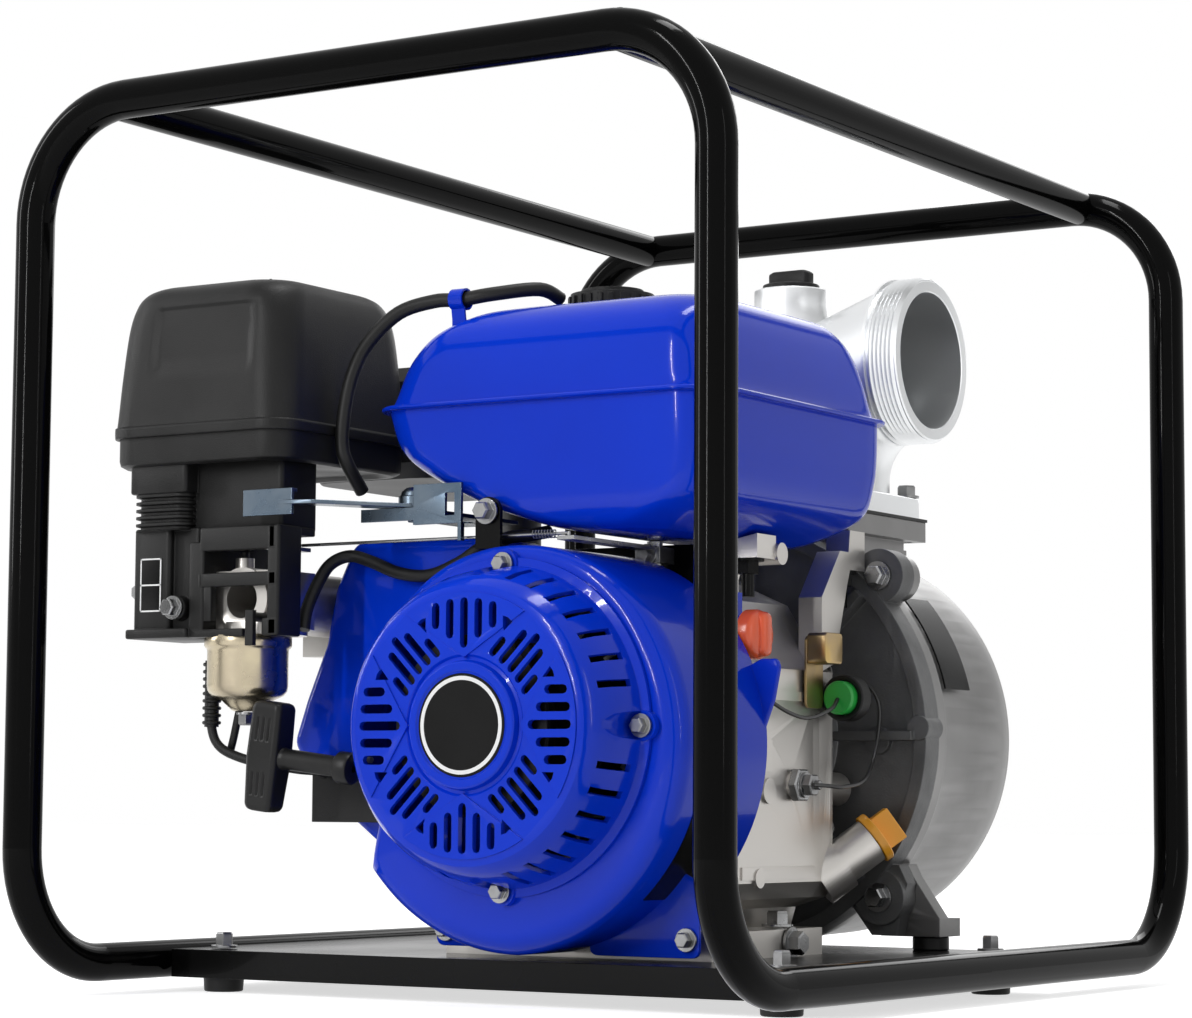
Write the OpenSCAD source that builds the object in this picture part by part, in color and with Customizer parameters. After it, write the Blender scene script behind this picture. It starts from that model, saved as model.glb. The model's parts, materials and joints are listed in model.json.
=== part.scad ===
// Engine-driven trash pump in a tubular carry cage.
// Millimetres, +Z up. The origin is on the floor under the centre of the cage, +Y runs from the
// recoil starter towards the pump, and +X runs from the cylinder head towards the oil filler.

/* [Cage] */
// Distance between post axes, side to side
cage_w = 492; // [484:1:540]
// Distance between the front and rear hoops, axis to axis
cage_d = 636; // [628:1:700]
// Height of the top rails above the bottom rails, axis to axis
cage_h = 532; // [520:1:600]
// Outside diameter of the cage tube
tube_d = 24; // [20:0.5:26]
// Bend radius of the hoops, at the tube axis
bend_r = 72; // [50:1:90]
// Distance of each straight top tube from the post axis
top_inset = 64; // [60:1:110]
// Height of the bottom rail axis above the floor
rail_z = 20; // [18:1:30]

/* [Base plate] */
// Front edge of the base plate
plate_y0 = -188; // [-230:1:-180]
// Rear edge of the base plate
plate_y1 = 134; // [134:1:200]
// Sheet thickness of the base plate
plate_t = 3; // [2:0.5:5]
// Depth of the folded flanges
plate_flange = 18; // [12:1:19]
// Height of the plate's top above the rail axis
plate_rise = 7; // [5:0.5:9]
// Side distance of the feet from the centre
foot_x = 205; // [190:1:212]
// Diameter of a rubber foot
foot_d = 28; // [20:1:34]

/* [Engine] */
// Sideways offset of the crankshaft from the cage centre
crank_x = 35; // [30:1:40]
// Height of the crankshaft above the base plate
crank_h = 140; // [140:1:146]
// Cylinder bore
bore_d = 77; // [70:1:80]
// Throw of the crankpin
throw = 29; // [24:1:30]
// Distance from small end to big end of the connecting rod
rod_len = 84; // [84:1:88]
// Tilt of the cylinder above the horizontal
cyl_tilt = 25; // [22:1:28]
// Number of cooling fins on the barrel
barrel_fins = 7; // [4:1:8]
// Width of the finned barrel
fin_w = 105; // [96:1:105]
// Module of the timing gears
gear_m = 1.75; // [1.75:0.05:1.8]
// Wall of the crankcase
case_wall = 7; // [6:0.5:8]

/* [Recoil starter] */
// Radius of the cover's mounting flange
recoil_r = 102; // [101:0.5:106]
// Radius of the flat face
recoil_face_r = 84; // [80:0.5:86]
// Depth of the cover from flange to face
recoil_depth = 46; // [44:1:50]
// Width of a cooling slot
slot_w = 5.4; // [4:0.1:5.8]
// Number of slots round the side wall
side_slots = 36; // [24:4:40]
// Radius at which the rope winds on the reel
reel_r = 44; // [40:1:48]

/* [Fan shroud] */
// Smallest radius of the fan housing, at the top
shroud_r0 = 110; // [108:1:114]
// Largest radius of the fan housing, at the bottom
shroud_r1 = 136.5; // [130:0.5:137]
// Wall of the shroud
shroud_t = 2.4; // [1.6:0.2:3]
// Radius of the flywheel
flywheel_r = 88; // [80:1:92]

/* [Fuel tank] */
// Height of the tank seam above the crankshaft
seam_h = 200; // [200:1:206]
// Height of the upper shell above the seam
tank_top_h = 65; // [60:1:72]
// Width of the tank at the seam
tank_w = 244; // [230:1:250]
// Length of the tank at the seam
tank_l = 236; // [220:1:240]
// Wall of the tank
tank_t = 2.5; // [1.5:0.25:3.5]
// Radius of the filler neck
neck_r = 22; // [18:0.5:24]
// Radius of the tank cap
cap_r = 27; // [25:0.5:30]

/* [Air cleaner] */
// Width of the air cleaner cover
ac_w = 137; // [125:1:140]
// Length of the air cleaner cover
ac_l = 140; // [130:1:150]
// Height of the air cleaner cover
ac_h = 87; // [80:1:95]
// Wall of the cover
ac_t = 2.5; // [2:0.25:4]
// Radius of the filter element
filter_r = 46; // [36:1:50]

/* [Pump] */
// Radius of the adapter rim and the casing flange
adapter_r = 141; // [138:1:146]
// Length of the casing behind its flange
casing_l = 145; // [135:1:155]
// Wall of the casing
casing_t = 8; // [6:0.5:10]
// Bolt circle radius of the adapter ears
ear_r = 149; // [148:1:154]
// Impeller diameter
impeller_d = 176; // [150:1:180]
// Outside diameter of the inlet and outlet pipe thread
port_od = 114.3; // [108:0.1:120]
// Bore of the inlet and outlet
port_bore = 94; // [80:1:98]
// Height of the inlet above the crankshaft
inlet_rise = 50; // [40:1:56]
// Bend radius of the discharge elbow at its axis
elbow_r = 80; // [76:1:84]

/* [Hidden] */

gap = 0.3;          // clearance between curved faces of different pieces
fit = 0.05;         // radial clearance of a running fit
tube_r = tube_d / 2;
plate_z = rail_z + plate_rise;
plate_hw = cage_w / 2 - tube_r - 0.2;
plate_bottom = plate_z - plate_flange;
crank_z = plate_z + crank_h;
pump_foot_z = plate_z + 9;           // top of the pump's rubber mounts
foot_y0 = plate_y0 + plate_t + foot_d / 2 + 1;
foot_y1 = plate_y1 - plate_t - foot_d / 2 - 7;

// stations along the crankshaft
recoil_y = -203;                    // recoil flange and shroud front
face_y = recoil_y - recoil_depth;   // flat face of the recoil cover
wing_y = -165;                      // front of the shroud's flat wing
shroud_y1 = -100;                   // rear edge of the shroud
case_y0 = -90;                      // front wall of the crankcase
case_y1 = 15;                       // joint of crankcase and side cover
cover_y1 = 33;                      // flange of the side cover
cover_y2 = 46;                      // rear wall of the side cover
pto_y = 60;                         // machined face that carries the pump
adapter_y0 = 80;                    // front of the adapter's rim
casing_y0 = 95;                     // joint of adapter and casing
casing_y1 = casing_y0 + casing_l;   // rear wall of the casing
rod_y = (case_y0 + case_y1) / 2;    // centre plane of the connecting rod

// ---------------------------------------------------------------- helpers
module at_crank() { translate([crank_x, 0, crank_z]) children(); }

// A frame whose +Z runs up the cylinder and whose +X is the upper side of it
module at_cylinder() { at_crank() translate([0, rod_y, 0]) rotate([0, cyl_tilt - 90, 0]) children(); }

module ycyl(r, y0, y1, x = 0, z = 0, fn = 48) {
  translate([x, y0, z]) rotate([-90, 0, 0]) cylinder(r = r, h = y1 - y0, $fn = fn);
}

module xcyl(r, x0, x1, y = 0, z = 0, fn = 48) {
  translate([x0, y, z]) rotate([0, 90, 0]) cylinder(r = r, h = x1 - x0, $fn = fn);
}

module zcyl(r, z0, z1, x = 0, y = 0, fn = 48) {
  translate([x, y, z0]) cylinder(r = r, h = z1 - z0, $fn = fn);
}

// Extrudes an outline drawn in X and Z from y0 to y1
module yslab(y0, y1) { translate([0, y1, 0]) rotate([90, 0, 0]) linear_extrude(y1 - y0) children(); }

// Turns a profile drawn as (radius, y) about the Y axis
module yturn(fn = 96) { rotate([-90, 0, 0]) rotate_extrude($fn = fn) children(); }

module box(x0, x1, y0, y1, z0, z1) { translate([x0, y0, z0]) cube([x1 - x0, y1 - y0, z1 - z0]); }

// Hexagon head or nut along +Z
module hex(af, h) { cylinder(d = af / cos(30), h = h, $fn = 6); }

// Flanged hexagon bolt head along +Z
module bolt_head(af, h, washer_r) {
  cylinder(r = washer_r, h = 1.6, $fn = 24);
  translate([0, 0, 1.6]) hex(af, h);
}

function rrect(w, d, r, n = 5) = [
  for (q = [0:3]) for (i = [0:n])
    let (a = 90 * q + 90 * i / n, sx = (q == 0 || q == 3) ? 1 : -1, sy = q < 2 ? 1 : -1)
      [sx * (w / 2 - r) + r * cos(a), sy * (d / 2 - r) + r * sin(a)]
];

// Rounded rectangle between given sides, at a height
function ring(x0, x1, y0, y1, r, z, n = 5) =
  [for (p = rrect(x1 - x0, y1 - y0, r, n)) [p[0] + (x0 + x1) / 2, p[1] + (y0 + y1) / 2, z]];

// Closed skin through rings of equal length
module loft(rings) {
  n = len(rings[0]);
  m = len(rings);
  polyhedron(
    points = [for (r = rings) each r],
    faces = concat(
      [[for (i = [0:n - 1]) i]],
      [[for (i = [n - 1:-1:0]) (m - 1) * n + i]],
      [for (j = [0:m - 2]) for (i = [0:n - 1])
        let (a = j * n + i, b = (j + 1) * n + i, c = (j + 1) * n + (i + 1) % n, d = j * n + (i + 1) % n)
          each [[a, b, c], [a, c, d]]]
    ),
    convexity = 4
  );
}

// Round-ended bar outline of length l and width w, along X
function stadium(l, w, n = 4) = [
  for (s = [0:1]) for (i = [0:n])
    let (a = -90 + 180 * s + 180 * i / n)
      [(s == 0 ? 1 : -1) * (l - w) / 2 + w / 2 * cos(a), w / 2 * sin(a)]
];

// Tube swept along a route of points
function unit(v) = v / norm(v);
function tangent(p, i) = unit(p[min(i + 1, len(p) - 1)] - p[max(i - 1, 0)]);
function side_of(t) = unit(cross(t, abs(t[2]) > 0.8 ? [1, 0.2, 0] : [0, 0, 1]));
module cord(p, d, n = 8) {
  rings = [for (i = [0:len(p) - 1])
    let (t = tangent(p, i), u = side_of(t), v = cross(t, u))
      [for (k = [0:n - 1]) p[i] + d / 2 * (cos(360 * k / n) * u + sin(360 * k / n) * v)]];
  loft(rings);
}

// Smooth route through chosen points
function hermite(a, b, ta, tb, s) =
  (2 * s * s * s - 3 * s * s + 1) * a + (s * s * s - 2 * s * s + s) * ta
  + (3 * s * s - 2 * s * s * s) * b + (s * s * s - s * s) * tb;
function slope_at(p, i) = (p[min(i + 1, len(p) - 1)] - p[max(i - 1, 0)]) / 2;
function smooth(p, k) = concat(
  [for (i = [0:len(p) - 2]) for (j = [0:k - 1])
    hermite(p[i], p[i + 1], slope_at(p, i), slope_at(p, i + 1), j / k)],
  [p[len(p) - 1]]
);

// ---------------------------------------------------------------- cage
module bend(r = tube_r) {
  rotate_extrude(angle = 90, $fn = 96) translate([bend_r, 0]) circle(r = r, $fn = 32);
}

// Cross tube of a hoop with its two top bends
module hoop_cross(r) {
  hw = cage_w / 2;
  zt = rail_z + cage_h;
  translate([-hw + bend_r, -cage_d / 2, zt]) rotate([0, 90, 0])
    cylinder(r = r, h = cage_w - 2 * bend_r, $fn = 32);
  for (s = [-1, 1])
    translate([s * (hw - bend_r), -cage_d / 2, zt - bend_r]) rotate([90, s > 0 ? 0 : -90, 0]) bend(r);
}

// Posts, cross tube and the front half of both bottom rails, in one bent tube
module hoop() {
  hw = cage_w / 2;
  hd = cage_d / 2;
  hoop_cross(tube_r);
  for (s = [-1, 1]) {
    translate([s * hw, -hd, rail_z + bend_r]) cylinder(r = tube_r, h = cage_h - 2 * bend_r, $fn = 32);
    translate([s * hw, -hd + bend_r, rail_z + bend_r]) rotate([0, 90, 0]) rotate([0, 0, -90]) bend();
    translate([s * hw, -hd + bend_r, rail_z]) rotate([-90, 0, 0])
      cylinder(r = tube_r, h = hd - bend_r, $fn = 32);
  }
}

module front_hoop() { color("#16181b") hoop(); }
module rear_hoop() { color("#16181b") rotate([0, 0, 180]) hoop(); }

module top_rails() {
  color("#16181b")
    for (s = [-1, 1]) difference() {
      translate([s * (cage_w / 2 - top_inset), -cage_d / 2, rail_z + cage_h]) rotate([-90, 0, 0])
        cylinder(r = tube_r, h = cage_d, $fn = 32);
      hoop_cross(tube_r + 0.3);
      rotate([0, 0, 180]) hoop_cross(tube_r + 0.3);
    }
}

module foot_places() {
  for (x = [-foot_x, foot_x], y = [foot_y0, foot_y1]) translate([x, y, 0]) children();
}

mount_x = 126;                      // pump feet, to each side of the crankshaft
mount_y = 112;
mount_r = 12;
module pump_feet_places() {
  for (s = [-1, 1]) translate([crank_x + s * mount_x, mount_y, 0]) children();
}

base_hole_x = 81;                   // engine mounting holes, half pitch
base_hole_y = [-110, -15];
module engine_feet_places() {
  for (s = [-1, 1], y = base_hole_y) translate([crank_x + s * base_hole_x, y, 0]) children();
}

module base_plate() {
  color("#1a1c20") difference() {
    union() {
      box(-plate_hw, plate_hw, plate_y0, plate_y1, plate_z - plate_t, plate_z);
      for (y = [plate_y0, plate_y1 - plate_t])
        box(-plate_hw, plate_hw, y, y + plate_t, plate_bottom, plate_z);
    }
    foot_places() zcyl(4.5, plate_z - plate_t - 1, plate_z + 1, fn = 24);
    pump_feet_places() zcyl(5.5, plate_z - plate_t - 1, plate_z + 1, fn = 24);
    engine_feet_places() zcyl(5.5, plate_z - plate_t - 1, plate_z + 1, fn = 24);
    // window under the pump's round flanges
    box(crank_x - 30, crank_x + 30, adapter_y0 - 12, casing_y0 + 22, plate_z - plate_t - 1, plate_z + 1);
  }
}

module rubber_mounts() {
  color("#1b1b1b") {
    foot_places() difference() {
      cylinder(d1 = foot_d - 3, d2 = foot_d, h = plate_z - plate_t, $fn = 32);
      translate([0, 0, -1]) cylinder(r = 6, h = 6, $fn = 24);
    }
    pump_feet_places() zcyl(mount_r, plate_z, pump_foot_z, fn = 32);
  }
}

module foot_bolts() {
  color("silver") foot_places() translate([0, 0, plate_z]) {
    bolt_head(10, 7, 8.5);
    translate([0, 0, -plate_t + 0.1]) cylinder(r = 4, h = plate_t, $fn = 24);
  }
}

// ---------------------------------------------------------------- crankcase
cam_a = cyl_tilt + 90;              // direction of the camshaft from the crankshaft
gear_teeth = 24;
cam_d = gear_m * gear_teeth * 1.5;  // centre distance
cam_x = cam_d * cos(cam_a);
cam_z = cam_d * sin(cam_a);
chamber_r = 57;
cam_chamber_r = gear_m * gear_teeth + 5;
deck = rod_len + throw + 30;        // joint of barrel and head, from the crankshaft
barrel_r = bore_d / 2 + 5;
base_hw = 97;
base_t = 17;

case_outline = [
  [-58, -crank_h + base_t - 1], [64, -crank_h + base_t - 1], [68, -crank_h + base_t + 12], [90, -104],
  [95, -94], [95, 40], [86, 45], [62, 84], [34, cam_z + cam_chamber_r - 8],
  [cam_x + 20, cam_z + cam_chamber_r + case_wall], [cam_x - 26, cam_z + cam_chamber_r + case_wall],
  [-72, 82], [-80, 40], [-76, -50]
];
// The same outline drawn in, for the raised centre of the side cover
cover_outline = [for (p = case_outline) [p[0] * 0.86, p[1] * 0.86 - 6]];

module case_block(y0, y1) { at_crank() yslab(y0, y1) polygon(case_outline); }

module case_bolt_places() {
  for (p = [[88, -60], [87, -8], [87, 40], [20, 97], [-66, 76], [-70, 0], [-64, -90], [10, -117]])
    at_crank() translate([p[0], 0, p[1]]) children();
}

sensor_y = -19;                     // oil level sensor on the right wall
sensor_z = -33;
tank_stud_x = 85;                   // tank studs, from the crankshaft
tank_stud_y = [-60, 64];
tank_floor = 120;                   // lowest level of the tank, from the crankshaft
gov_x = 66;                         // governor shaft
gov_y = -84;
gov_z = crank_z + 113;
gov_reach = 100;
carb_x = -150;                      // middle of the carburettor
carb_y = -203;
carb_z = crank_z + 81;

module crankcase() {
  color("#9c9a93") difference() {
    union() {
      case_block(case_y0, case_y1);
      translate([crank_x, 0, plate_z]) box(-base_hw, base_hw, -125, case_y1, 0, base_t);
      // bearing housing towards the flywheel
      at_crank() ycyl(38, case_y0 - 8, case_y0);
      // barrel with square fins
      at_cylinder() {
        zcyl(barrel_r, 58, deck, fn = 64);
        for (i = [0:barrel_fins - 1])
          translate([-fin_w / 2, 0.8 - fin_w / 2, 84 + i * (deck - 90) / (barrel_fins - 1)])
            cube([fin_w, fin_w - 1.6, 2.4]);
      }
      // bosses on the right wall
      at_crank() {
        xcyl(9, 90, 96.5, sensor_y, sensor_z);
        xcyl(8, 90, 97, sensor_y - 34, sensor_z - 4);
        xcyl(6, 90, 97, sensor_y - 46, sensor_z - 58);
        box(90, 96.5, sensor_y - 42, sensor_y - 30, sensor_z + 8, sensor_z + 28);
        box(90, 96, case_y0 + 4, case_y1 - 8, -92, -84);
        box(90, 96, case_y0 + 4, case_y1 - 8, 20, 26);
      }
      tank_arm(-70, -46);
      at_crank() xcyl(7, 80, 99, -41, tank_floor - 8, 32);
    }
    // crank chamber, open towards the side cover
    at_crank() ycyl(chamber_r, case_y0 + case_wall + 8, case_y1 + 1, fn = 72);
    at_crank() ycyl(cam_chamber_r, case_y0 + 30, case_y1 + 1, cam_x, cam_z, fn = 64);
    at_crank() ycyl(31, case_y0 - 1, case_y0 + case_wall + 9);
    at_crank() ycyl(22, case_y0 - 9, case_y0);
    at_crank() ycyl(8 + fit, case_y0 + 14, case_y0 + 31, cam_x, cam_z, fn = 32);
    at_cylinder() zcyl(bore_d / 2, 30, deck + 1, fn = 72);
    engine_feet_places() zcyl(5.5, plate_z - 1, plate_z + base_t + 1, fn = 24);
    at_crank() zcyl(4.2, tank_floor - 20, tank_floor + 15, tank_stud_x, tank_stud_y[0], 24);
    at_crank() xcyl(5, 80, 102, sensor_y, sensor_z, fn = 24);
    at_crank() yslab(case_y0 - 60, shroud_y1 + gap) polygon(drum_outline(-gap));
    translate([gov_x, gov_y, crank_z + 80]) cylinder(r = 5 + fit, h = 40, $fn = 24);
  }
}

neck_from = [84, 32, -94];          // oil filler neck, from the crankshaft
neck_to = [112, 54, -68];
neck_dir = unit(neck_to - neck_from);

module at_neck(d = 0) {
  at_crank() translate(neck_from + neck_dir * d)
    rotate([0, acos(neck_dir[2]), atan2(neck_dir[1], neck_dir[0])]) children();
}
neck_l = norm(neck_to - neck_from);

// Cast arm that rises from the case to a tank stud
module tank_arm(y0, y1) {
  at_crank() yslab(y0, y1)
    polygon([[56, 88], [70, 69], [70, 96], [74, tank_floor - 12], [97, tank_floor - 12],
      [97, tank_floor + 3], [80, tank_floor - 0.5], [66, tank_floor - 0.5]]);
}

module side_cover() {
  color("#a3a19a") difference() {
    union() {
      case_block(case_y1, cover_y1);
      at_crank() yslab(cover_y1 - 1, cover_y2) polygon(cover_outline);
      at_crank() ycyl(66, cover_y1 - 1, pto_y, fn = 72);
      at_neck() cylinder(r = 15, h = neck_l, $fn = 40);
      at_neck() cylinder(r = 18, h = neck_l * 0.45, $fn = 40);
      for (a = [45:90:315]) at_crank() ycyl(11, cover_y1 - 1, pto_y, 62 * cos(a), 62 * sin(a), 32);
      at_crank() ycyl(11, cover_y1 - 1, adapter_y0 - 8, 77, -35, 32);
      // rear arm under the tank
      at_crank() translate([80, 0, 0]) rotate([90, 0, 90]) linear_extrude(17)
        polygon([[case_y1, 40], [cover_y1, 46], [50, tank_floor - 22], [54, tank_floor - 12],
          [74.5, tank_floor - 12], [74.5, tank_floor + 14], [54, tank_floor + 14], [52, tank_floor - 0.5],
          [40, tank_floor - 0.5], [case_y1, 88]]);
    }
    at_crank() ycyl(31, case_y1 - 1, cover_y1 - 2);
    at_crank() ycyl(20, cover_y1 - 3, pto_y + 1);
    at_crank() ycyl(8 + fit, case_y1 - 1, cover_y1 - 6, cam_x, cam_z, fn = 32);
    at_neck(6) cylinder(r = 11 + fit, h = neck_l, $fn = 40);
    for (a = [45:90:315]) at_crank() ycyl(4.2, cover_y1 + 1, pto_y + 1, 52 * cos(a), 52 * sin(a), 24);
    at_crank() zcyl(4.2, tank_floor - 20, tank_floor + 15, tank_stud_x, tank_stud_y[1], 24);
    case_bolt_places() ycyl(4, cover_y1, cover_y2 + 1, 0, 0, 24);
    case_bolt_places() ycyl(9, cover_y1, cover_y2 + 1, 0, 0, 24);
  }
}

bearing_w = 15;
module bearing(y0, y1) {
  at_crank() difference() {
    ycyl(31 - fit, y0, y1);
    ycyl(17.5 + fit, y0 - 1, y1 + 1);
  }
}
module main_bearings() {
  color("lightgray") {
    bearing(case_y0 + 0.5, case_y0 + bearing_w);
    bearing(case_y1 + 0.5, case_y1 + bearing_w);
  }
}

// ---------------------------------------------------------------- crank train
shaft_y1 = 160;                     // rear end, in the impeller
web_t = 13;
web_r = chamber_r - 6;
pin_half = 13;                      // from the rod's centre plane to each web
pin_r = 15;
big_end_r = 22;
small_end_r = 13;
wrist_r = 9;
rod_w = 22;
main_r = 17.5;                      // main journals
shaft_r = 12.5;                     // output shaft that carries the impeller
core_r = throw - big_end_r - 1;     // core between the webs, clear of the big end
gear_y0 = case_y1 - 16;
gear_y1 = case_y1 - 4;
flywheel_seat_r = 14;
flywheel_y0 = -112;                 // front of the flywheel's rim
stub_r = 8;                         // front end that carries the starter cup

// Full-disc webs, so that nothing meets the rod, which stays at top dead centre
module crankshaft() {
  color("dimgray") at_crank() {
    ycyl(main_r, case_y0 - 4, rod_y - pin_half - web_t + 1);
    ycyl(main_r, rod_y + pin_half + web_t - 1, cover_y1);
    ycyl(shaft_r, cover_y1 - 1, shaft_y1);
    ycyl(flywheel_seat_r, flywheel_y0 - 6, case_y0 - 3);
    ycyl(stub_r, -140, flywheel_y0 - 5);
    ycyl(core_r, rod_y - pin_half - 1, rod_y + pin_half + 1);
    rotate([0, cyl_tilt - 90, 0])
      for (y = [rod_y - pin_half - web_t, rod_y + pin_half]) difference() {
        ycyl(web_r, y, y + web_t, fn = 72);
        for (x = [-18, 0, 18]) ycyl(7, y - 1, y + web_t + 1, x, throw + 4 - abs(x) / 3, 32);
      }
    // timing gear
    yslab(gear_y0, gear_y1) gear_outline(gear_teeth, cam_a);
  }
}

// Spur gear outline with straight-sided teeth
function polar(r, a) = r * [cos(a), sin(a)];
function tooth(a, r, w) = [
  for (p = [[-1.2, -1.35], [-0.1, -0.95], [0.85, -0.45], [0.85, 0.45], [-0.1, 0.95], [-1.2, 1.35]])
    polar(r + p[0] * gear_m, a + p[1] * w)
];
module gear_outline(teeth, phase) {
  pitch_r = gear_m * teeth / 2;
  polygon([for (i = [0:teeth - 1]) each tooth(phase + 360 * i / teeth, pitch_r, 84 / teeth)]);
}

lobe_w = 10;
function lobe_r(a) = 13 + 6 * pow(max(0, cos(a)), 4);
module camshaft() {
  color("gray") at_crank() translate([cam_x, 0, cam_z]) {
    // the gap between two cam teeth faces a tooth of the crank gear
    yslab(gear_y0, gear_y1) difference() {
      gear_outline(2 * gear_teeth, cam_a + 180 + 90 / gear_teeth);
      for (a = [0:60:300]) translate(polar(26, a)) circle(r = 7, $fn = 24);
    }
    ycyl(8, case_y0 + 14.5, cover_y1 - 7, fn = 32);
    // inlet and exhaust lobes, between the webs of the crankshaft
    for (s = [-1, 1]) yslab(rod_y + 7 * s - lobe_w / 2, rod_y + 7 * s + lobe_w / 2)
      polygon([for (a = [0:10:350]) polar(lobe_r(a - 55 * s), a)]);
  }
}

// The crankpin stays with the rod
module connecting_rod() {
  color("lightgray") at_cylinder() {
    difference() {
      union() {
        ycyl(big_end_r, -rod_w / 2, rod_w / 2, 0, throw);
        ycyl(small_end_r, -rod_w / 2, rod_w / 2, 0, throw + rod_len, 40);
        translate([-8, -6, throw + big_end_r - 4]) cube([16, 12, rod_len - big_end_r - 6]);
      }
      ycyl(pin_r + fit, -rod_w, rod_w, 0, throw);
      ycyl(wrist_r + fit, -rod_w, rod_w, 0, throw + rod_len, 40);
    }
    ycyl(pin_r, gap - pin_half, pin_half - gap, 0, throw);
  }
}

module piston() {
  color("gainsboro") at_cylinder() {
    difference() {
      zcyl(bore_d / 2 - 0.1, throw + rod_len - 24, deck - 2, fn = 72);
      translate([-small_end_r - 3, -rod_w / 2 - 2, throw + rod_len - 25])
        cube([2 * small_end_r + 6, rod_w + 4, small_end_r + 28]);
      zcyl(bore_d / 2 - 6, throw + rod_len - 25, throw + rod_len - 14, fn = 64);
    }
    ycyl(wrist_r, 5 - bore_d / 2, bore_d / 2 - 5, 0, throw + rod_len, 40);
  }
}

// ---------------------------------------------------------------- head
head_t = 40;
cover_h = 34;
// Frame of the spark plug: +Z points into the chamber
module at_plug() { translate([-20, 0, deck + 9]) rotate([0, 120, 0]) children(); }

module cylinder_head() {
  color("#a8a69f") at_cylinder() difference() {
    union() {
      zcyl(barrel_r + 3, deck + 0.4, deck + head_t, fn = 64);
      translate([-38, -36, deck + 6]) cube([76, 72, head_t - 6]);
      for (i = [0:3]) translate([-fin_w / 2, -fin_w / 2, deck + 4 + 8.5 * i]) cube([fin_w, fin_w, 2.6]);
      // intake flange towards the carburettor, exhaust flange behind
      translate([-24, -fin_w / 2 - 10, deck + 8]) cube([48, 20, 26]);
      translate([-24, fin_w / 2 - 10, deck + 8]) cube([48, 18, 26]);
    }
    zcyl(34, deck, deck + 7, fn = 48);
    ycyl(13, -fin_w / 2 - 20, fin_w / 2 + 20, 0, deck + 21, 40);
    at_plug() zcyl(7, -20, 12, fn = 32);
    at_plug() zcyl(12, -80, -12, fn = 32);
  }
}

module valve_cover() {
  color("#8f8d88") at_cylinder() translate([0, 0, deck + head_t]) loft([
    for (s = [[0, 0, 0.2], [4, 0, 4], [5, 5, 4.2], [22, 6, 18], [cover_h, 14, cover_h - 6]])
      ring(-47 + s[1], 47 - s[1], -37 + s[1], 37 - s[1], 12, s[0] + 0.2)
  ]);
}

module spark_plug() {
  color("ivory") at_cylinder() at_plug() {
    zcyl(5, -50, -30, fn = 24);
    zcyl(7.5, -36, -20, fn = 24);
    translate([0, 0, -21]) hex(16, 9);
    zcyl(7 - fit, -13, 6, fn = 24);
  }
}

// ---------------------------------------------------------------- flywheel and fan
module flywheel() {
  color("#6f7072") at_crank() difference() {
    union() {
      yturn() polygon([[flywheel_seat_r, flywheel_y0], [26, flywheel_y0], [26, flywheel_y0 - 10],
        [flywheel_r - 22, flywheel_y0 - 14], [flywheel_r - 20, flywheel_y0 - 28],
        [flywheel_r - 6, flywheel_y0 - 28], [flywheel_r - 6, flywheel_y0], [flywheel_r, flywheel_y0],
        [flywheel_r, flywheel_y0 + 6], [30, flywheel_y0 + 6], [30, flywheel_y0 + 12],
        [flywheel_seat_r, flywheel_y0 + 12]]);
      for (a = [0:22.5:337.5]) rotate([0, a, 0]) translate([flywheel_r - 30, flywheel_y0 - 48, -1.5])
        rotate([0, 18, 0]) cube([26, 36, 3]);
    }
    ycyl(flywheel_seat_r + 0.2, flywheel_y0 - 18, flywheel_y0 + 13);
  }
}

cup_y = -131;
cup_r = 52;
module starter_cup() {
  color("#33363a") at_crank() difference() {
    yturn(72) polygon([[stub_r + 0.2, cup_y], [cup_r, cup_y], [cup_r, cup_y - 41],
      [cup_r - 2.5, cup_y - 41], [cup_r - 2.5, cup_y - 2.5], [stub_r + 0.2, cup_y - 2.5]]);
    for (a = [0:60:300]) rotate([0, a, 0]) ycyl(7, cup_y - 3.5, cup_y + 1, 30, 0, 24);
  }
}

// ---------------------------------------------------------------- fan shroud
function shroud_r(a) = shroud_r0 + (shroud_r1 - shroud_r0) * pow(min(1, max(0, (90 - a) / 180)), 1.3);
// Outline of the fan housing, clockwise from the top, drawn in by a wall
function drum_outline(t) = concat(
  [for (a = [90:-10:-140]) polar(shroud_r(a) - t, a)],
  [for (a = [-150:-10:-260]) polar(shroud_r0 + 4 * (270 + a) / 120 - t, a)]
);
wing_x = -192;
wing_top = 120;
function wing_outline(t) = [
  [0, 40], [-22, shroud_r0 - 4 - t], [-48 - t, wing_top - t], [-145 + t, wing_top - t],
  [-160 + t, 90], [-167 + t, 55], [-182 + t, 20], [wing_x + t, -8],
  [-172 + t, -36], [-112, -80 + t], [-60, -100 + t], [0, -60]
];

recoil_bolt_r = recoil_r - 4;
// Four places on a circle about the Y axis
module bolt_circle(r, from = 0, z = 0) {
  for (a = [from:90:from + 270]) translate([r * cos(a), 0, z + r * sin(a)]) children();
}
module recoil_bolt_places(y) {
  at_crank() translate([0, y, 0]) bolt_circle(recoil_bolt_r) children();
}

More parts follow.
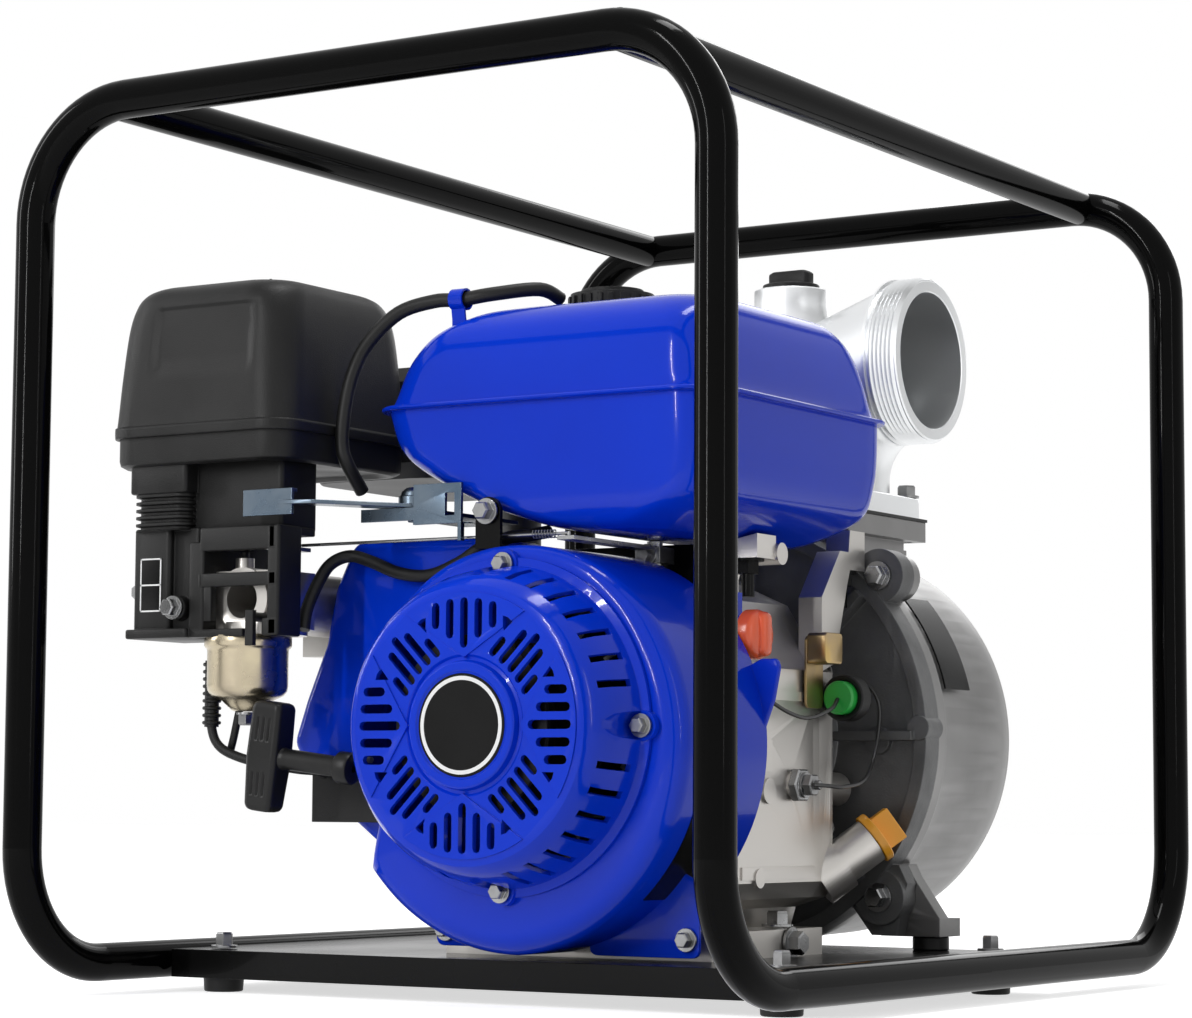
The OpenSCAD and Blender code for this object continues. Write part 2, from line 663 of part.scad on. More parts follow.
module fan_shroud() {
  color("#1037c8") difference() {
    at_crank() union() {
      yslab(recoil_y + 5, shroud_y1) polygon(drum_outline(0));
      yslab(recoil_y + 1.5, recoil_y + 5) polygon(drum_outline(2));
      yslab(recoil_y, recoil_y + 1.5) polygon(drum_outline(5));
      yslab(wing_y, shroud_y1) polygon(wing_outline(0));
      // ear at the rear edge, below the switch
      yslab(shroud_y1 - 3, shroud_y1) polygon([[104, 20], [108, 38], [118, 43], [129, 43], [131, 38],
        [127, 18], [120, 0], [114, -14], [100, -10]]);
      // foot of the shroud on the crankcase base
      yslab(-152, -149.6) polygon([[40, -60], [104, -92], [104, -crank_h + 3], [26, -crank_h + 3]]);
      yslab(-152, -149.6) polygon([[-40, -60], [-86, -70], [-86, -crank_h + 6], [-26, -crank_h + 6]]);
    }
    at_crank() {
      yslab(recoil_y + shroud_t + 2, shroud_y1 + 1) polygon(drum_outline(shroud_t));
      yslab(wing_y + shroud_t, shroud_y1 + 1) polygon(wing_outline(shroud_t));
      ycyl(recoil_r - 12, recoil_y - 1, recoil_y + 8, fn = 96);
      // intake passage and foot bolts
      ycyl(22, wing_y - 1, wing_y + 4, carb_x - crank_x, carb_z - crank_z);
      box(-230, -126, wing_y + shroud_t, shroud_y1 + 1, 44, 104);
      for (p = [[96, -crank_h + 14], [-78, -crank_h + 16]]) ycyl(3.2, -153, -149, p[0], p[1], 24);
    }
  }
}

module lower_shield() {
  color("#1d1e20") at_crank() difference() {
    box(-165, -92, -178, -100, -58, -20);
    box(-162.5, -93, -175.5, -99, -55.5, -19);
    yslab(wing_y - gap, shroud_y1 + gap) polygon(wing_outline(-gap));
    yslab(-180, shroud_y1 + gap) polygon(drum_outline(-gap));
  }
}

// ---------------------------------------------------------------- recoil starter
wall = 2.4;
hub_r = 37.5;                       // raised ring round the label disc
recoil_profile = [
  [recoil_r, recoil_y - 0.2], [recoil_r, recoil_y - 2.8], [recoil_r - 5, recoil_y - 4],
  [recoil_face_r + 12, recoil_y - 12], [recoil_face_r + 9, recoil_y - 26],
  [recoil_face_r + 5, recoil_y - 37], [recoil_face_r + 2, face_y + 4.5],
  [recoil_face_r - 1, face_y + 1], [recoil_face_r - 5, face_y],
  [hub_r + 4.5, face_y], [hub_r + 3, face_y + 1.5], [hub_r + 1, face_y + 1], [hub_r, face_y - 3],
  [hub_r - 1, face_y - 3.6], [hub_r - 5, face_y - 3.6], [hub_r - 6, face_y - 2.6], [0, face_y - 2.6]
];
recoil_inner = [
  [0, face_y + wall + 1], [hub_r + 9, face_y + wall + 1], [recoil_face_r - 6, face_y + wall + 0.5],
  [recoil_face_r - 3, face_y + 5.5], [recoil_face_r + 2, recoil_y - 36.5],
  [recoil_face_r + 6, recoil_y - 25.5], [recoil_face_r + 9, recoil_y - 11],
  [recoil_face_r + 9, recoil_y - 0.2]
];
side_slot_l = 26;
slot_pitch = 10.2;                  // of the pointed sectors
slot_top_r = recoil_face_r - 8.5;
vee = 0.62;                         // slope of a pointed sector's edges
diagonal_pitch = 8;

rope_y = -226;
rope_dz = -17;                      // height of the rope outlet from the crankshaft
// A slot along +Y between two heights
module slot(x, low, top, w) { translate([x, (top + low) / 2]) rotate(90) polygon(stadium(top - low, w)); }

// Slots of one pointed sector of the face, and a small triangle at each end of them
module pointed_slots() {
  for (i = [-2:2]) {
    x = i * slot_pitch;
    slot(x, hub_r + 8 + vee * abs(x) * 0.9, sqrt(slot_top_r * slot_top_r - x * x), slot_w);
  }
  for (s = [-1, 1]) translate([s * 3 * slot_pitch, hub_r + 21])
    polygon([[s * -3, -3.5], [s * 3.4, 1.8], [s * 0.5, 4.4], [s * -3, 5.4]]);
}

// Raised plate of one pointed sector, from its tip at the hub to the rim
module pointed_sector() {
  polygon([[0, hub_r + 2.5], [48, hub_r + 2.5 + vee * 48], [0, recoil_r], [-48, hub_r + 2.5 + vee * 48]]);
}

// Slots of one diagonal sector, drawn along +Y: half-length and middle of each
module diagonal_slots() {
  for (i = [-2:2])
    let (half = [15, 13, 7.2][abs(i)], mid = [59, 56.3, 49][abs(i)])
      slot(i * diagonal_pitch, mid - half, mid + half, slot_w - 0.4);
}

module recoil_cover() {
  color("#1037c8") at_crank() difference() {
    union() {
      yturn(96) polygon(concat(recoil_profile, recoil_inner));
      intersection() {
        yturn(96) polygon(concat([[0, recoil_y - 0.2]], recoil_profile));
        bolt_circle(recoil_bolt_r) ycyl(10.5, recoil_y - 30, recoil_y, fn = 32);
      }
      bolt_circle(recoil_bolt_r) ycyl(9, recoil_y - 5, recoil_y - 0.2, fn = 32);
      // pointed sectors stand proud of the face
      intersection() {
        ycyl(recoil_face_r - 5.2, face_y - 1, face_y + 1.2, fn = 96);
        yslab(face_y - 1, face_y + 1.2) for (a = [0:90:270]) rotate(a) pointed_sector();
      }
      // post that carries the reel
      ycyl(7, face_y - 1, recoil_y - 4, fn = 32);
    }
    bolt_circle(recoil_bolt_r) {
      ycyl(3.2, recoil_y - 12, recoil_y + 1, fn = 24);
      ycyl(8.4, recoil_y - 40, recoil_y - 5, fn = 32);
    }
    yslab(face_y - 4, face_y + 8) for (a = [0:90:270]) rotate(a) {
      pointed_slots();
      rotate(45) diagonal_slots();
    }
    for (i = [0:side_slots - 1]) {
      a = 360 * (i + 0.5) / side_slots;
      off_boss = abs((a + 45) % 90 - 45) > 7;
      off_rope = abs(a - 180) > 20;
      if (off_boss && off_rope)
        rotate([0, -a, 0]) translate([recoil_face_r - 2, recoil_y - 10 - side_slot_l, (1 - slot_w) / 2])
          cube([22, side_slot_l, slot_w - 1]);
    }
    // rope outlet
    xcyl(5, -recoil_face_r - 30, -recoil_face_r + 30, rope_y, rope_dz, 24);
  }
}

module recoil_reel() {
  color("#25282c") at_crank() difference() {
    union() {
      ycyl(reel_r - 3, face_y + 7, recoil_y - 6, fn = 64);
      ycyl(reel_r + 10, face_y + 7, face_y + 10, fn = 64);
      ycyl(reel_r + 10, recoil_y - 9, recoil_y - 6, fn = 64);
    }
    ycyl(7 + fit, face_y, recoil_y, fn = 32);
  }
}

handle_x = -134;
grip_l = 72;
// half width of the grip at a share of its half length
grip_halves = [[0, 12.5], [0.3, 12], [0.75, 11.5], [0.93, 9], [1, 5.5]];
stem_r = 6.5;
// Frame of the handle: +X towards the cover, tipped down a little
module at_handle() { translate([handle_x, rope_y, crank_z - rope_dz_handle]) rotate([0, 6, 0]) children(); }
rope_dz_handle = 11;
stem_l = 60;

module starter_rope() {
  color("#dddddd") translate([handle_x, rope_y, crank_z - rope_dz_handle]) rotate([0, 6, 0])
    xcyl(2, stem_l + 9.2, stem_l + 26, fn = 16);
}

module recoil_handle() {
  color("#1c1c1e") at_handle() {
    loft([
      for (h = [-1, -0.93, -0.75, -0.3, 0, 0.3, 0.75, 0.93, 1])
        let (half = lookup(abs(h), grip_halves))
          ring(-half, half, -half - 0.8, half + 0.8, 4.5, h * grip_l / 2, 3)
    ]);
    xcyl(stem_r, 10, stem_l + 1, fn = 32);
    difference() {
      xcyl(10, stem_l, stem_l + 11, fn = 32);
      xcyl(2 + fit, stem_l + 9, stem_l + 12, fn = 16);
    }
  }
}

module shroud_bolts() {
  color("silver") {
    recoil_bolt_places(recoil_y - 5.1) rotate([90, 0, 0]) bolt_head(8, 5, 7);
    recoil_bolt_places(recoil_y - 5.1) rotate([-90, 0, 0]) cylinder(r = 3, h = 5.1, $fn = 24);
    at_crank() for (p = [[96, -crank_h + 14], [-78, -crank_h + 16]])
      translate([p[0], -152.1, p[1]]) rotate([90, 0, 0]) bolt_head(9, 4, 7);
  }
}

// ---------------------------------------------------------------- fuel tank
seam_z = crank_z + seam_h;
tank_x0 = 43 - tank_w / 2;
tank_x1 = 43 + tank_w / 2;
tank_y0 = -69 - tank_l / 2;
tank_y1 = -69 + tank_l / 2;
cap_x = 28;
cap_y = -75;
recess_z = seam_z + tank_top_h - 11;

// One level of the tank: height from the seam, then how far each side draws in
function tank_ring(z, l, r, f, b, t = 0, c = 24) =
  ring(tank_x0 + l + t, tank_x1 - r - t, tank_y0 + f + t, tank_y1 - b - t, c - t, seam_z + z);

function tank_levels(t) = [
  tank_ring(-80 + t, 138, 52, 18, 20, t, 26),
  tank_ring(-76 + t, 116, 40, 10, 12, t, 26),
  tank_ring(-68, 90, 20, 5, 7, t, 26),
  tank_ring(-58, 64, 6, 3, 5, t, 26),
  tank_ring(-40, 28, 1, 2, 3, t, 26),
  tank_ring(-24, 9, 0, 1, 1, t, 26),
  tank_ring(0, 0, 0, 0, 0, t, 26),
  tank_ring(8, 4, 4, 2, 2, t, 26),
  tank_ring(30, 12, 8, 6, 8, t, 26),
  tank_ring(tank_top_h - 17 - t, 26, 13, 13, 18, t, 26),
  tank_ring(tank_top_h - 5 - t, 46, 21, 27, 32, t, 26),
  tank_ring(tank_top_h - t, 64, 33, 45, 48, t, 26)
];

module fuel_tank() {
  color("#1037c8") difference() {
    union() {
      difference() {
        union() {
          loft(tank_levels(0));
          loft([ring(tank_x0 - 5, tank_x1 + 5, tank_y0 - 5, tank_y1 + 5, 30, seam_z - 1.5),
                ring(tank_x0 - 5, tank_x1 + 5, tank_y0 - 5, tank_y1 + 5, 30, seam_z + 2.5)]);
        }
        loft([for (r = tank_levels(tank_t)) [for (p = r) [p[0], p[1], min(p[2], recess_z - tank_t)]]]);
        zcyl(48, recess_z, seam_z + tank_top_h + 10, cap_x, cap_y, 64);
      }
      zcyl(neck_r, recess_z - tank_t, recess_z + 9, cap_x, cap_y);
      // clip that holds the breather hose
      box(-38, -30, -164, -150, seam_z + 40, seam_z + 66);
    }
    zcyl(neck_r - 3, recess_z - 2 * tank_t - 1, recess_z + 10, cap_x, cap_y);
    // hose passage through the clip
    xcyl(5.5, -44, -24, -157, seam_z + 69, 24);
  }
}

module tank_cap() {
  color("#1b1b1d") translate([cap_x, cap_y, 0]) difference() {
    union() {
      zcyl(cap_r, recess_z + 3, recess_z + 26, fn = 72);
      for (a = [0:15:345]) rotate(a) translate([cap_r - 0.5, -1.6, recess_z + 4]) cube([2.1, 3.2, 20]);
      zcyl(cap_r - 7, recess_z + 25, recess_z + 29, fn = 64);
    }
    zcyl(neck_r + fit, recess_z + 2, recess_z + 12, fn = 48);
  }
}

ear_y = -192;
module tank_stud_places() {
  for (y = tank_stud_y) translate([crank_x + tank_stud_x, y, 0]) children();
}

module tank_brackets() {
  floor_z = crank_z + tank_floor;
  color("#8a5a34") tank_stud_places() zcyl(4, floor_z - 36, floor_z - 0.3, fn = 24);
  color("silver") tank_stud_places() translate([0, 0, floor_z - 12.1])
    mirror([0, 0, 1]) bolt_head(13, 8, 10);
  // front ear, bolted to the lower shell
  color("#1b1c1e") difference() {
    union() {
      box(3, 21, ear_y, ear_y + 3, crank_z + shroud_r0 - 0.8, crank_z + 132);
      ycyl(9, ear_y, ear_y + 3, 12, crank_z + 132, 32);
      box(3, 21, ear_y, ear_y + 10, crank_z + shroud_r0 - 0.8, crank_z + shroud_r0 + 2);
    }
    ycyl(3.2, ear_y - 1, ear_y + 4, 12, crank_z + 132, 24);
  }
}

fuel_route = [[-118, -205, 229], [-119, -200, 243], [-118, -190, 260], [-115, -181, 272], [-105, -174, 277],
  [-90, -172, 273], [-68, -172, 265], [-45, -172, 263], [-22, -173, 270], [-4, -174, 279], [14, -173, 284],
  [27, -166, 286], [32, -154, 288.6]];
// Vent hose in a ribbed sleeve, from the air cleaner's elbow to the lower shield
vent_route = [[-184, -212, 239], [-184, -213, 225], [-183, -214, 210.5], [-183, -215, 190],
  [-182, -215, 168], [-176, -214, 156], [-162, -210, 149], [-144, -204, 145], [-129, -194, 142],
  [-120, -186, 141], [-118, -179.9, 139]];
// Short drain hose under the float bowl
drain_route = [[-163, -207, 198], [-163.5, -208, 187], [-166, -209, 174], [-170, -208, 161],
  [-175, -206, 150]];
module fuel_hose() {
  color("#18181a") {
    cord(smooth(fuel_route, 4), 8, 8);
    cord(smooth(vent_route, 4), 6, 8);
    cord(smooth(drain_route, 4), 5, 8);
    translate(vent_route[2]) mirror([0, 0, 1]) {
      cylinder(r = 4.6, h = 42, $fn = 32);
      for (i = [0:8]) translate([0, 0, 1.2 + 4.6 * i]) cylinder(r = 6, h = 2.6, $fn = 32);
    }
  }
}

breather_route = [[-98, -172, 318], [-98, -188, 334], [-100.2, -191, 347], [-99, -190, 370],
  [-96, -186, 392], [-90, -178, 412], [-74, -168, 431], [-52, -160, 438],
  [-34, -157, 438], [-14, -150, 441], [8, -130, 445], [12, -112, 441]];
module breather_hose() { color("#18181a") cord(smooth(breather_route, 4), 9, 8); }

// ---------------------------------------------------------------- air cleaner
ac_x = -173.5;
ac_y = -170;
tray_z0 = crank_z + 166;
tray_z1 = tray_z0 + 24;
ac_top = tray_z1 + ac_h;

function ac_ring(z, inset, r) =
  [for (p = rrect(ac_w - 2 * inset, ac_l - 2 * inset, r)) [ac_x + p[0], ac_y + p[1], z]];

module air_cleaner_base() {
  color("#1c1d1f") {
    difference() {
      loft([ac_ring(tray_z0, 1.5, 20), ac_ring(tray_z0 + 3, 0, 22), ac_ring(tray_z1 - 0.2, 0, 22)]);
      loft([ac_ring(tray_z0 + 3, 3, 19), ac_ring(tray_z1 + 1, 3, 19)]);
      zcyl(26, tray_z0 - 1, tray_z0 + 4, ac_x, ac_y);
    }
    // bridge that carries the stud
    box(ac_x - 27, ac_x + 27, ac_y - 3, ac_y + 3, tray_z0, tray_z0 + 3);
    // elbow housing below the tray
    difference() {
      union() {
        loft([ring(-231, -113, -238, -166, 9, tray_z0 - 98),
          ring(-229, -113, -237, -166, 9, tray_z0 + 0.1)]);
        for (i = [0:4]) box(-232, -176, -240, -224, tray_z0 - 32 + 7 * i, tray_z0 - 28.5 + 7 * i);
        // foot flange
        box(-234, -196, -239, -180, tray_z0 - 98, tray_z0 - 94);
      }
      loft([ring(-226, -118, -233, -171, 7, tray_z0 - 99),
        ring(-224, -118, -232, -171, 7, tray_z0 + 4)]);
      // windows that show the carburettor and its levers
      box(-176, -121, -250, -225, tray_z0 - 60, tray_z0 - 38);
      box(-169, -121, -250, -225, tray_z0 - 110, tray_z0 - 66);
      box(-122, -110, -230, -160, tray_z0 - 110, tray_z0 - 40);
      // passage for the intake tube
      box(carb_x - 20 - gap, carb_x + 20 + gap, -173, -160, tray_z0 - 110, tray_z0 - 50);
    }
  }
}

stud_r = 3;
dish_r = 24;
dish_d = 4;

// Pleated ring, and the stud that holds the cover down through its middle
module air_filter() {
  color("#c9b27a") translate([ac_x, ac_y, 0]) difference() {
    zcyl(filter_r, tray_z0 + 3.2, ac_top - 18, fn = 72);
    zcyl(filter_r - 16, tray_z0 + 2, ac_top - 17, fn = 48);
  }
  color("silver") translate([ac_x, ac_y, 0]) zcyl(stud_r, tray_z0 + 3.1, ac_top + 10, fn = 24);
}

module air_cleaner_cover() {
  color("#222326") difference() {
    loft([ac_ring(tray_z1, 0, 22), ac_ring(tray_z1 + 3, 1.5, 22), ac_ring(ac_top - 22, 9, 24),
      ac_ring(ac_top - 10, 12, 25), ac_ring(ac_top - 3, 18, 24), ac_ring(ac_top, 26, 20)]);
    loft([ac_ring(tray_z1 - 1, ac_t, 20), ac_ring(tray_z1 + 3, 1.5 + ac_t, 20),
      ac_ring(ac_top - 22, 9 + ac_t, 22), ac_ring(ac_top - 10 - dish_d, 12 + ac_t, 23),
      ac_ring(ac_top - ac_t - 2 - dish_d, 18 + ac_t, 22)]);
    // blank label recess in the sloping front
    translate([ac_x + 2, ac_y - ac_l / 2 + 4.6, tray_z1 + 51]) rotate([-6, 0, 0])
      translate([-41, -10, -21]) cube([82, 10 - 1.6, 42]);
    zcyl(stud_r + 0.4, ac_top - 12, ac_top + 1, ac_x, ac_y, 24);
    zcyl(dish_r, ac_top - dish_d, ac_top + 1, ac_x, ac_y, 56);
  }
}

module wing_nut() {
  color("#303236") translate([ac_x, ac_y, ac_top - dish_d + 0.2]) rotate(122) difference() {
    union() {
      zcyl(7, 0, 4, fn = 32);
      zcyl(5, 3.9, 13, fn = 32);
      for (s = [-1, 1]) translate([s * 9, 0, 8]) rotate([0, s * 20, 0]) cube([10, 3, 12], center = true);
    }
    zcyl(stud_r + fit, -1, 14, fn = 24);
  }
}

// ---------------------------------------------------------------- carburettor
bowl_r = 27;
module carburettor() {
  color("#9a9a96") translate([carb_x, 0, 0]) difference() {
    union() {
      box(-24, 24, carb_y - 22, carb_y + 20, carb_z - 18, carb_z + 18);
      ycyl(20, carb_y - 24, -130, 0, carb_z, 48);
      // insulator block on the cylinder head
      box(-24, 52, -132, -102, carb_z - 32, carb_z + 18);
      zcyl(bowl_r, carb_z - 22, carb_z - 14, 0, carb_y);
      zcyl(7, carb_z + 17, carb_z + 30, 14, carb_y + 6, 24);
      zcyl(6, carb_z + 17, carb_z + 27, -12, carb_y - 6, 24);
    }
    ycyl(12, carb_y - 25, -112, 0, carb_z, 40);
    zcyl(3 + fit, carb_z + 5, carb_z + 31, 14, carb_y + 6, 24);
    zcyl(2.5 + fit, carb_z + 8, carb_z + 31, -12, carb_y - 6, 24);
    ycyl(3 + fit, carb_y - 25, carb_y - 12, 17, carb_z - 12, 24);
  }
}

module float_bowl() {
  color("#c5bd9e") translate([carb_x, carb_y, carb_z]) {
    rotate_extrude($fn = 64) polygon([[0, -53], [8, -53], [10, -50], [20, -47], [bowl_r - 2, -42],
      [bowl_r - 0.5, -38], [bowl_r - 0.5, -25], [bowl_r, -24.5],
      [bowl_r, -22.2], [24, -22.2], [24, -40], [18, -45], [0, -46]]);
    translate([0, 0, -58]) hex(10, 5.1);
  }
}

module choke_lever() {
  color("#1c1c1e") translate([carb_x - 12, carb_y - 6, 0]) {
    zcyl(2.5, carb_z + 9, carb_z + 34, fn = 24);
    translate([0, -2, carb_z + 31]) cube([6, 4, 3]);
    translate([-4, -22, carb_z + 31]) cube([8, 22, 3]);
  }
}

module throttle_arm() {
  color("silver") translate([carb_x + 14, carb_y + 6, 0]) {
    zcyl(3, carb_z + 6, gov_z + 2.5, fn = 24);
    translate([-4, -4, gov_z]) cube([8, 21, 2.5]);
  }
}

module fuel_lever() {
  color("#1c1c1e") translate([carb_x + 17, 0, carb_z - 12]) {
    ycyl(3, carb_y - 35, carb_y - 14, fn = 24);
    translate([-3, carb_y - 38, -18]) cube([6, 3.5, 22]);
  }
}

// ---------------------------------------------------------------- controls
deck_z = crank_z + 137;             // top of the control bracket
lever_x = -53;
lever_y = -178;
lever_pin_r = 4;
module control_plate() {
  color("#b9c2c6") difference() {
    union() {
      box(-84, -40, -192, -80, deck_z - 2.5, deck_z);
      // front flange
      box(-44, -8, -192, -189.5, deck_z - 11, deck_z + 14);
      box(-84, -44, -192, -189.5, deck_z - 8, deck_z);
      box(-10.5, -8, -192, -188, deck_z - 22, deck_z - 11);
      // legs on the cylinder head's top fins
      at_cylinder() translate([fin_w / 2 + gap, -fin_w / 2 + 4, deck - 8]) cube([29, 3, 10]);
    }
    zcyl(lever_pin_r + fit, deck_z - 4, deck_z + 1, lever_x, lever_y, 24);
    box(-20, -13, -193, -189, deck_z - 6, deck_z + 8);
    zcyl(6, deck_z - 4, deck_z + 1, -62, -140, 24);
    zcyl(6, deck_z - 4, deck_z + 1, -62, -110, 24);
  }
}

// Zinc lever: disc at the pivot, arm, and a folded thumb tab
module throttle_lever() {
  color("#b9c2c6") translate([lever_x, lever_y, deck_z]) {
    zcyl(lever_pin_r, -8, 10, fn = 24);
    zcyl(12, 0.3, 2.8, fn = 40);
    zcyl(10, 2.7, 8, fn = 40);
    translate([0, 0, 8]) rotate_extrude($fn = 40) polygon([[0, 0], [9, 0], [8, 3], [5, 5.5], [0, 6.5]]);
    translate([0, 0, 0.3]) linear_extrude(2.5)
      polygon([[6, -10], [-12, 0], [-48, -62], [-83, -62], [-83, -64.5], [-46, -68], [-32, -64]]);
    translate([-83, -67, -6]) cube([38, 2.6, 16]);
    translate([-83, -67, 8]) cube([38, 6, 2.4]);
  }
}

module governor_arm() {
  color("silver") translate([gov_x, gov_y, 0]) {
    zcyl(5, crank_z + 90, gov_z + 6, fn = 24);
    difference() {
      translate([-6, -gov_reach - 4, gov_z]) cube([12, gov_reach + 12, 2.5]);
      zcyl(1.35, gov_z - 1, gov_z + 4, 0, -gov_reach, 16);
    }
    // clamp with its screw
    translate([-9, -9, gov_z - 8]) cube([18, 18, 10]);
    translate([0, -9, gov_z - 3]) rotate([90, 0, 0]) bolt_head(8, 5, 7);
  }
}

rod_z = gov_z + 4.2;
throttle_pin_x = carb_x + 14;
spring_r = 2.6;
module governor_rod() {
  color("silver") {
    xcyl(1, throttle_pin_x, gov_x, gov_y - gov_reach, rod_z, 16);
    zcyl(1, gov_z + 0.1, rod_z + 1, gov_x, gov_y - gov_reach, 16);
  }
  // spring round the rod
  color("#b07a4a") translate([gov_x - 26, gov_y - gov_reach, rod_z])
    cord([for (i = [0:48]) [0.36 * i, each polar(spring_r, 60 * i)]], 0.9, 6);
}

// ---------------------------------------------------------------- muffler
module muffler() {
  color("#1f2023") difference() {
    union() {
      loft([ring(-206, -96, -88, 64, 24, crank_z + 168), ring(-212, -90, -94, 70, 26, crank_z + 178),
        ring(-212, -90, -94, 70, 26, crank_z + 232), ring(-206, -96, -88, 64, 24, crank_z + 242)]);
      ycyl(13, 60, 96, -130, crank_z + 205, 32);
    }
    ycyl(10, 71, 97, -130, crank_z + 205, 32);
  }
  // exhaust pipe from the head
  color("#4a4a4c") {
    at_cylinder() translate([-24, fin_w / 2 + 8.3, deck + 8]) cube([48, 26, 26]);
    zcyl(14, crank_z + 74, crank_z + 170, -116, 38, 40);
  }
}

// ---------------------------------------------------------------- electrics
switch_x = crank_x + 97;
switch_y = -83;
switch_z = crank_z + 59;
switch_r = 15.5;
module switch_box() {
  color("#1037c8") {
    box(crank_x + 84, crank_x + 87, shroud_y1 + gap, switch_y + 12, crank_z + 66, crank_z + 86);
    box(crank_x + 84, crank_x + 87, switch_y - 14, switch_y + 12, crank_z + 62.2, crank_z + 80);
  }
  color("#222222") difference() {
    xcyl(12, crank_x + 86, switch_x, switch_y, switch_z, 40);
    xcyl(6 + fit, crank_x + 88, switch_x + 1, switch_y, switch_z, 24);
  }
}

module switch_knob() {
  color("#e8381a") {
    xcyl(6, crank_x + 88.5, switch_x + 2, switch_y, switch_z, 24);
    xcyl(switch_r, switch_x + 0.3, switch_x + 8, switch_y, switch_z, 40);
    translate([switch_x + 11, switch_y, switch_z]) cube([8, 9, 30], center = true);
  }
}

conn_x = crank_x + 110;             // round wire connector
conn_y = 18;
conn_z = crank_z + 23;
module oil_alert_unit() {
  color("#b59a4a") {
    box(crank_x + 97.3, crank_x + 98.9, -6, 28, crank_z - 4, crank_z + 64);
    box(crank_x + 98.8, crank_x + 113, 3, 26, crank_z + 44, crank_z + 64);
    xcyl(5, crank_x + 97, crank_x + 102, 0, crank_z + 36, 24);
    box(crank_x + 97, crank_x + 110, 24, 28, crank_z + 20, crank_z + 44.1);
  }
  color("#1c1c1e") difference() {
    ycyl(15, conn_y, conn_y + 12, conn_x, conn_z, 40);
    ycyl(11, conn_y - 1, conn_y + 9, conn_x, conn_z, 40);
    box(crank_x + 80, crank_x + 98.1, conn_y - 1, conn_y + 13, crank_z, crank_z + 50);
  }
  color("#2da83a") ycyl(10.8, conn_y - 6, conn_y + 9.2, conn_x, conn_z, 32);
  color("silver") translate([crank_x + 96.6, sensor_y, crank_z + sensor_z]) rotate([0, 90, 0]) {
    hex(20, 6);
    zcyl(8, 6, 8, fn = 32);
    translate([0, 0, 8]) hex(13, 6);
    zcyl(3, 14, 18, fn = 24);
    zcyl(4.9, -10, 1, fn = 24);
  }
}

wire_a = [[crank_x + 94, switch_y, switch_z - 12.3], [crank_x + 96.7, -82.5, 208.6],
  [crank_x + 101, -79, 198], [crank_x + 105, -62, 184],
  [crank_x + 109, -30, 176], [crank_x + 111, 0, 182], [crank_x + 110, conn_y - 6.3, 189]];
wire_b = [[conn_x, conn_y + 12.3, conn_z + 2], [conn_x, 50, 200], [conn_x + 2, 66, 186],
  [conn_x + 4, 56, 156], [conn_x + 12, 26, 138], [conn_x + 12, -2, 133], [conn_x + 8, -16, 133.6],
  [crank_x + 114.9, sensor_y, 134]];
module switch_wires() {
  color("#111113") {
    cord(smooth(wire_a, 4), 2.6, 6);
    cord(smooth(wire_b, 4), 2.6, 6);
  }
}

module oil_cap() {
  color("#f59a17") at_neck(neck_l) {
    zcyl(11, -12, 0.3, fn = 40);
    zcyl(17, 0.3, 6, fn = 40);
    translate([-11.5, -5.5, 5]) cube([23, 11, 15]);
  }
  color("#f59a17") at_neck(neck_l) zcyl(3, -28, -11, fn = 24);
}

module engine_bolts() {
  color("silver") {
    engine_feet_places() translate([0, 0, plate_z + base_t]) bolt_head(13, 7, 10);
    engine_feet_places() zcyl(5, plate_z - plate_t - 8, plate_z + base_t + 1, fn = 24);
    translate([crank_x + base_hw, -28, plate_z + 8.5]) rotate([0, 90, 0]) bolt_head(13, 8, 8);
    case_bolt_places() translate([0, cover_y1, 0]) rotate([-90, 0, 0]) bolt_head(8, 5, 7);
  }
}

// ---------------------------------------------------------------- pump
imp_r = impeller_d / 2;
inlet_z = inlet_rise;
neck_cx = 10;                       // discharge neck, from the crankshaft
neck_cy = casing_y0 + 70;
neck_top = 153;                     // height of the casing's top flange above the crankshaft
flange_hw = 58;

module ear_places() { for (a = [45:90:315]) rotate([0, -a, 0]) translate([ear_r, 0, 0]) children(); }

module pump_adapter() {
  color("#55585c") at_crank() difference() {
    union() {
      yturn(96) polygon([[24, pto_y + 0.3], [66, pto_y + 0.3], [74, adapter_y0],
        [adapter_r - 10, adapter_y0 + 4], [adapter_r - 9, adapter_y0 - 4],
        [adapter_r, adapter_y0 - 4], [adapter_r, casing_y0 - 0.2],
        [adapter_r - 10, casing_y0 - 0.2], [adapter_r - 12, casing_y0 - 5], [24, casing_y0 - 5]]);
      for (a = [0:45:315]) rotate([0, -a, 0])
        box(70, adapter_r - 8, adapter_y0 - 10, adapter_y0 + 6, -3, 3);
      ear_places() {
        ycyl(18, adapter_y0 - 2, casing_y0 - 0.2, fn = 40);
        box(adapter_r - ear_r - 8, 0, adapter_y0, casing_y0 - 0.8, -15, 15);
      }
      // legs
      for (s = [0, 1]) mirror([s, 0, 0]) yslab(adapter_y0 + 2, casing_y0 - 0.5)
        polygon([[84, -112], [98, -crank_h + 10], [116, -crank_h + 10], [124, -96], [118, -84], [90, -84]]);
      // bump over the shaft passage's drain
      ycyl(9, adapter_y0 - 2, adapter_y0 + 8, 104, -3, 32);
      ycyl(8, adapter_y0 - 6, casing_y0 - 0.2, adapter_r - 5, 5, 32);
    }
    ycyl(30, pto_y, casing_y0 + 1);
    ear_places() ycyl(5, adapter_y0 - 3, casing_y0 + 1, fn = 24);
    for (a = [45:90:315]) ycyl(4.2, pto_y - 1, casing_y0, 52 * cos(a), 52 * sin(a), 24);
  }
}

